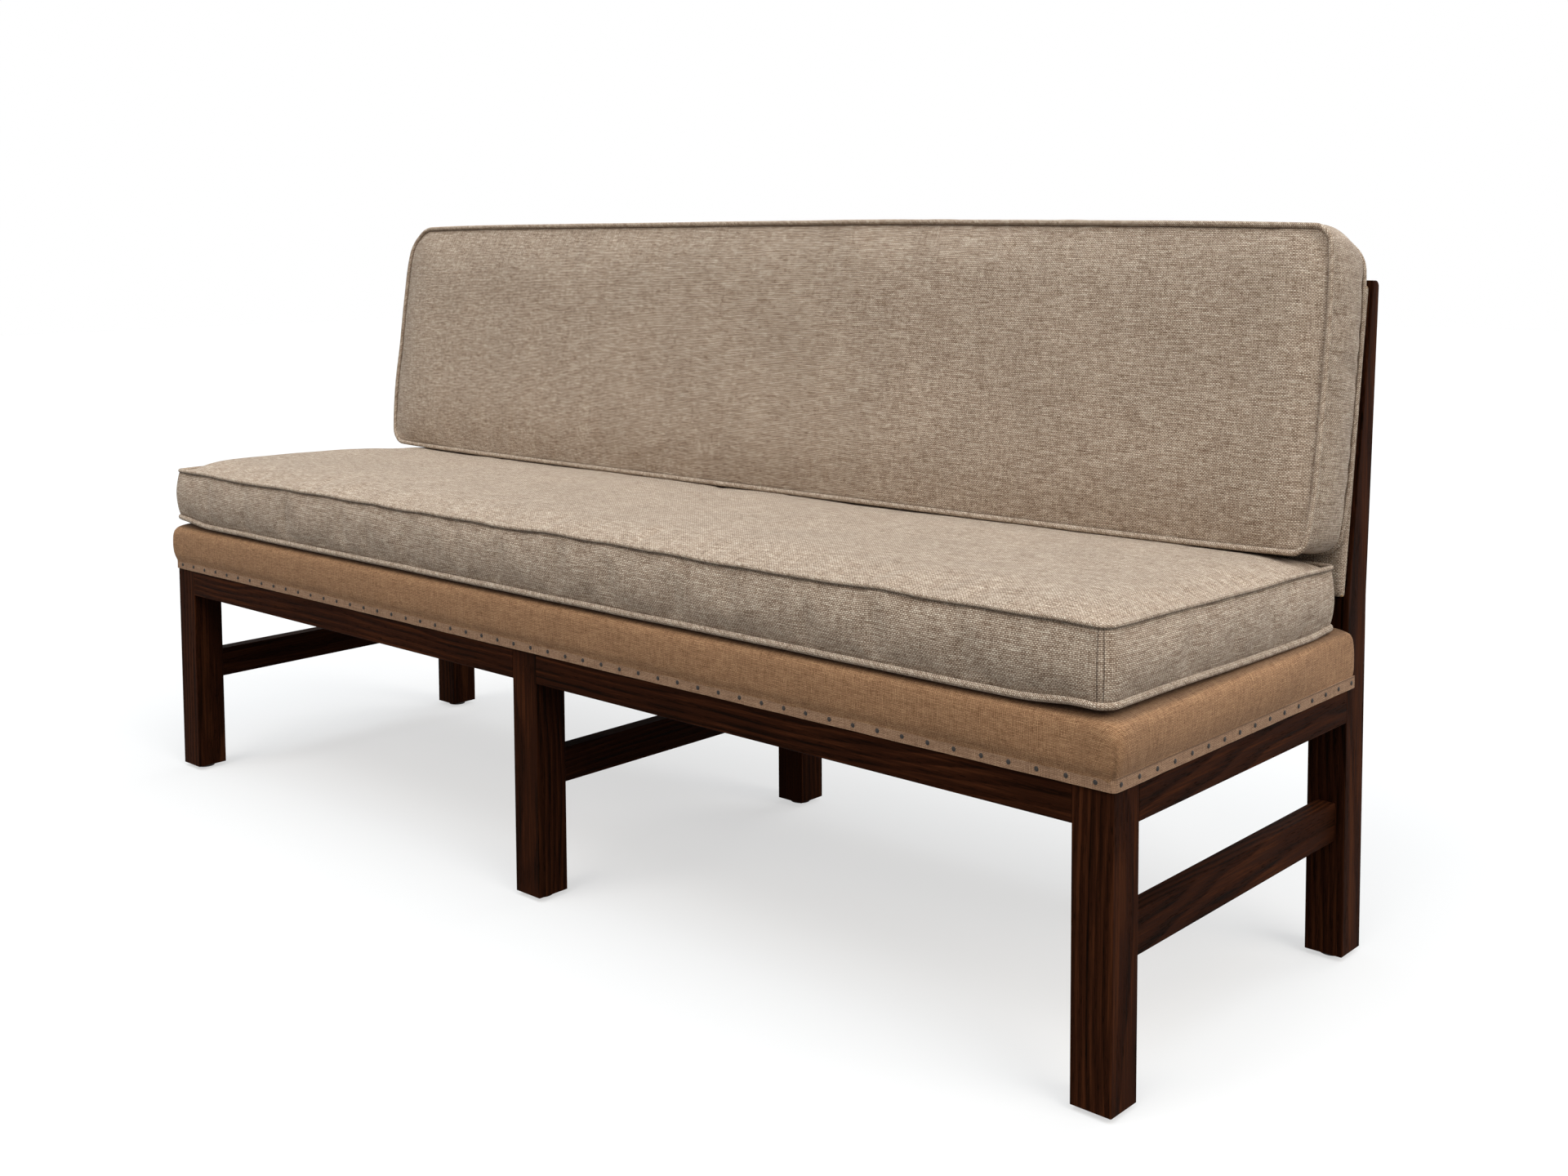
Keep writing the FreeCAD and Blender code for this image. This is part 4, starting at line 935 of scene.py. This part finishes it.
def makeTape(look):
    sideRun, arc, frontRun = skirtRuns(look)[3:]
    ways = [0.0]
    for run in (sideRun, arc, frontRun, arc, sideRun):
        start, count = ways[-1], look["cornerSteps"] if run == arc else round(run / look["step"])
        ways += [start + run * step / count for step in range(1, count + 1)]
    piece, spots = gridBlank("deckTape", len(ways) - 1, len(look["levels"]) - 1)
    flatSpots, shadeAndStripes = [], []
    for index, (i, j) in enumerate(spots):
        share = look["levels"][j]
        place, out = skirtPath(ways[i], look)
        edge = look["waver"] * wander(ways[i], share * 0.02, look["waverSize"], 2.2)
        height = look["low"] + (look["high"] - look["low"]) * share + edge * (0.4 + abs(share - 0.5))
        place += out * max(0.0, look["ripple"] * (1 + wander(ways[i], share * 0.02, look["rippleSize"], 6.1)))
        flatSpots.append((ways[i], share * (look["high"] - look["low"])))
        shadeAndStripes.append(1.0 if look["seam"][0] < share < look["seam"][1] else 0.0)
        piece.data.vertices[index].co = (place.x, place.y, height)
    layCloth(piece, flatSpots, shadeAndStripes)
    finishWith(piece, "SOLIDIFY", thickness=look["wall"], offset=1)
    cleanUp(piece)
    return dress(piece, tapeCloth, 50)


def makeTackHead(look):
    # flat rim, then a low dome drawn up in two steps
    letGo()
    bpy.ops.mesh.primitive_circle_add(vertices=10, radius=look["radius"], fill_type="NGON")
    head = bpy.context.object
    editMode()
    pickAll()
    for lift, shrink in ((0.35, 1.0), (0.40, 0.78), (0.25, 0.5)):
        bpy.ops.mesh.extrude_region_move(TRANSFORM_OT_translate={"value": (0, 0, look["height"] * lift)})
        bpy.ops.transform.resize(value=(shrink, shrink, 1))
    faceOut()
    objectMode()
    return head


def makeTacks(look):
    head = makeTackHead(look)
    face, front, tilt = tapeLook["endFace"], tapeLook["frontFace"], math.radians(look["tilt"])
    places = [(Vector((-face + look["frontMargin"] + look["pitch"] * step, front - look["seat"], look["level"])),
               Vector((0, -1, 0))) for step in range(look["frontCount"])]
    firstSide = front + look["sideMargin"]
    places += [(Vector((side * (face + look["seat"]), firstSide + look["pitch"] * step, look["level"])),
                Vector((side, 0, 0))) for side in (-1, 1) for step in range(look["sideCount"])]
    copies = []
    for index, (place, out) in enumerate(places):
        copy = head.copy()
        copy.data = head.data.copy()
        scene.collection.objects.link(copy)
        along = Vector((0, 0, 1)).cross(out)
        waver = [noise.noise(Vector((index * 3.7, seed, 0.5))) for seed in (1.3, 5.9, 9.1, 12.7)]
        facing = (out + along * waver[0] * tilt + Vector((0, 0, waver[1] * tilt))).normalized()
        turn = facing.to_track_quat("Z", "Y").to_matrix().to_4x4() @ Matrix.Rotation(index * 0.7, 4, "Z")
        spot = place + along * look["waver"] * waver[2] + Vector((0, 0, look["waver"] * waver[3]))
        copy.data.transform(Matrix.Translation(spot) @ turn)
        copies.append(copy)
    bpy.data.objects.remove(head)
    return dress(joinAll(copies, "deckTacks"), darkTack, 35)


handOver(makeTape(tapeLook), "frame", "hessian_tape", "deck_tape")
handOver(makeTacks(tackLook), "frame", "dark_steel", "deck_tacks")
print("tape and tacks done")


# back panel

panelLook = {
    "core": ((-0.898, -0.171), (0.898, 0.171)), "cells": (80, 14), "top": 0.0082, "wall": 0.001, "puff": 0.0012,
    "puffFrom": 0.0078, "puffSize": 0.2, "place": leaningFrame @ Matrix.Translation((0, 0.195, 0)),
    "edge": [(0.0050, 0.0082, 0.003), (0.0110, 0.0080, 0.004), (0.0160, 0.0073, 0.004), (0.0192, 0.0060, 0.004),
             (0.0208, 0.0042, 0.004), (0.0211, 0.0022, 0.003), (0.0211, 0.0004, 0.003)],
}


def makePanel(look):
    piece = rolledSheet("backPanelCover", look, dict.fromkeys(("side", "front", "rear"), look["edge"]))
    smoothOnce(piece)
    for vertex in piece.data.vertices:
        x, y, z = vertex.co
        if z > look["puffFrom"]:
            vertex.co.z -= look["puff"] * (0.5 + 0.5 * wander(x, y, look["puffSize"], 3.3)) * 0.5
    finishWith(piece, "SOLIDIFY", thickness=look["wall"], offset=-1)
    piece.data.transform(look["place"])
    return dress(piece, tweedCloth, 60)


backPanel = makePanel(panelLook)
handOver(backPanel, "frame", "cushion_fabric", "back_panel_cover", "back_panel_wadding")
print("panel done")


# webbing and canvas under the deck

webbingLook = {
    "width": 0.050, "wall": 0.0017, "level": 0.3800, "endLevel": 0.37905, "weave": 0.0009, "crossing": 0.045,
    "crossPlaces": [-0.77, -0.55, -0.33, -0.11, 0.11, 0.33, 0.55, 0.77], "crossEnds": (-0.2932, 0.2586),
    "longPlaces": [-0.1683, -0.0283, 0.1117], "longEnds": (-0.9218, 0.9218), "step": 0.0105,
    "shares": (0.0, 0.06, 0.12, 0.5, 0.88, 0.94, 1.0), "stripe": (0.37, 0.45), "endRun": (0.025, 0.06), "waver": 0.012,
    "waverSize": 0.05,
}
canvasLook = {"low": (-0.921, -0.2923), "high": (0.921, 0.2507), "cells": (60, 18), "level": 0.3822, "wall": 0.0006,
              "waver": 0.00012, "waverSize": 0.09}


def makeStraps(name, look, way, other):
    straps, shares = [], look["shares"]
    start, end = look[way + "Ends"]
    length = end - start
    count = round(length / look["step"])
    for number, middle in enumerate(look[way + "Places"]):
        strap, spots = gridBlank(name, count, len(shares) - 1)
        flatSpots, shadeAndStripes = [], []
        for index, (i, j) in enumerate(spots):
            along = start + length * i / count
            lift = sum((-1) ** (number + turn) * math.exp(-((along - crossing) / look["crossing"]) ** 2)
                       for turn, crossing in enumerate(look[other + "Places"]))
            lift *= look["weave"] if way == "long" else -look["weave"]
            fromEnd = min(along - start, end - along)
            level = look["endLevel"] + (look["level"] + lift - look["endLevel"]) * ramp(fromEnd, *look["endRun"])
            ragged = 1 + look["waver"] * wander(along, number, look["waverSize"], 1.1)
            side = middle + look["width"] * (shares[j] - 0.5) * ragged
            flatSpots.append((along, side))
            shadeAndStripes.append(1.0 if look["stripe"][0] < abs(shares[j] - 0.5) < look["stripe"][1] else 0.0)
            strap.data.vertices[index].co = (along, side, level) if way == "long" else (side, along, level)
        layCloth(strap, flatSpots, shadeAndStripes)
        finishWith(strap, "SOLIDIFY", thickness=look["wall"], offset=0)
        cleanUp(strap)
        straps.append(strap)
    return dress(joinAll(straps, name), juteStrap, 50)


def makeCanvas(look):
    low, high, (cellsX, cellsY) = look["low"], look["high"], look["cells"]
    piece, spots = gridBlank("deckCanvas", cellsX, cellsY)
    flatSpots = [(low[0] + (high[0] - low[0]) * i / cellsX, low[1] + (high[1] - low[1]) * j / cellsY) for i, j in spots]
    for vertex, (x, y) in zip(piece.data.vertices, flatSpots):
        vertex.co = (x, y, look["level"] + look["waver"] * (1 + wander(x, y, look["waverSize"], 5.5)))
    layCloth(piece, flatSpots)
    cutNotches(piece)
    finishWith(piece, "SOLIDIFY", thickness=look["wall"], offset=1)
    cleanUp(piece)
    return dress(piece, canvasCloth, 50)


handOver(makeStraps("crossWebbing", webbingLook, "cross", "long"), "frame", "jute_webbing", "seat_webbing_crosswise")
handOver(makeStraps("longWebbing", webbingLook, "long", "cross"), "frame", "jute_webbing", "seat_webbing_lengthwise")
deckCanvas = makeCanvas(canvasLook)
handOver(deckCanvas, "frame", "canvas", "deck_canvas")
print("webbing and canvas done")


# studio

studio = {
    "cameraPlace": (1.8388, -1.7857, 0.9016), "cameraTurn": (85.7759, 0.3048, 42.3377),
    "lens": 40.1417, "shiftY": -0.14062,
    "worldLight": 0.18, "floorGlow": 0.57, "floorColour": 0.33, "floorBounce": 0.14,
    "floorLevel": -0.0004, "floorSize": 30,
    "lamps": [("overheadSoft", (0.04, -0.2, 1.0), 60, 1.52, (0.87, 1.01, 1.13)),
              ("sideFill", (1.0, -0.08, 0.85), 45, 2.1, (1.04, 1.0, 0.94)),
              ("frontFill", (-0.05, -1.0, 1.0), 45, 1.45, (1.07, 1.0, 0.92)),
              ("backFill", (0.15, 1.0, 0.6), 45, 0.9, (1.0, 1.0, 1.0))],
}


def seenDirectly(tree):
    # 1 for what the camera sees, also in gloss and through glass
    path = addNode(tree, "ShaderNodeLightPath").outputs
    mirrored = calc(tree, "MAXIMUM", path["Is Glossy Ray"], path["Is Transmission Ray"])
    return calc(tree, "MAXIMUM", path["Is Camera Ray"], mirrored)


def makeFloor(look):
    letGo()
    bpy.ops.mesh.primitive_plane_add(size=look["floorSize"], location=(0, 0, look["floorLevel"]))
    floor = bpy.context.object
    floor.name = "paleFloor"
    material, tree, shader = newMaterial("paleFloor", Roughness=0.9, Specular_IOR_Level=0.0, Emission_Color=grey(1))
    cloud = cloudy(tree, addNode(tree, "ShaderNodeTexCoord").outputs["Object"], 0.8, 2.0, 0.5)
    seen = seenDirectly(tree)
    pale = blendColour(tree, cloud, grey(look["floorColour"]), grey(look["floorColour"] * 1.01))
    below = addNode(tree, "ShaderNodeNewGeometry").outputs["Backfacing"]
    fill(tree, shader, Base_Color=blendColour(tree, seen, grey(look["floorBounce"]), pale),
         Emission_Strength=times(tree, seen, look["floorGlow"]),
         Alpha=calc(tree, "SUBTRACT", 1.0, below))  # clear when seen from underneath
    wear(floor, material)


def makeLight(look):
    scene.world = bpy.data.worlds.new("studioSky")
    scene.world.use_nodes = True
    tree = scene.world.node_tree
    glow = calc(tree, "MULTIPLY_ADD", seenDirectly(tree), 1 - look["worldLight"], look["worldLight"])
    fill(tree, tree.nodes["Background"], Color=grey(1), Strength=glow)
    for name, away, spread, strength, tint in look["lamps"]:
        bpy.ops.object.light_add(type="SUN", location=Vector(away) * 4)
        lamp = bpy.context.object
        lamp.name = name
        setUp(lamp.data, {"angle": math.radians(spread), "energy": strength, "color": tint})
        lamp.rotation_euler = Vector(away).to_track_quat("Z", "Y").to_euler()


def makeCamera(look):
    bpy.ops.object.camera_add(location=look["cameraPlace"],
                              rotation=[math.radians(turn) for turn in look["cameraTurn"]])
    scene.camera = bpy.context.object
    setUp(scene.camera.data, {"sensor_width": 36, "lens": look["lens"], "shift_y": look["shiftY"],
                              "clip_start": 0.05, "clip_end": 100})


makeFloor(studio)
makeLight(studio)
makeCamera(studio)
scene.view_settings.view_transform = "Standard"
print("studio ready")
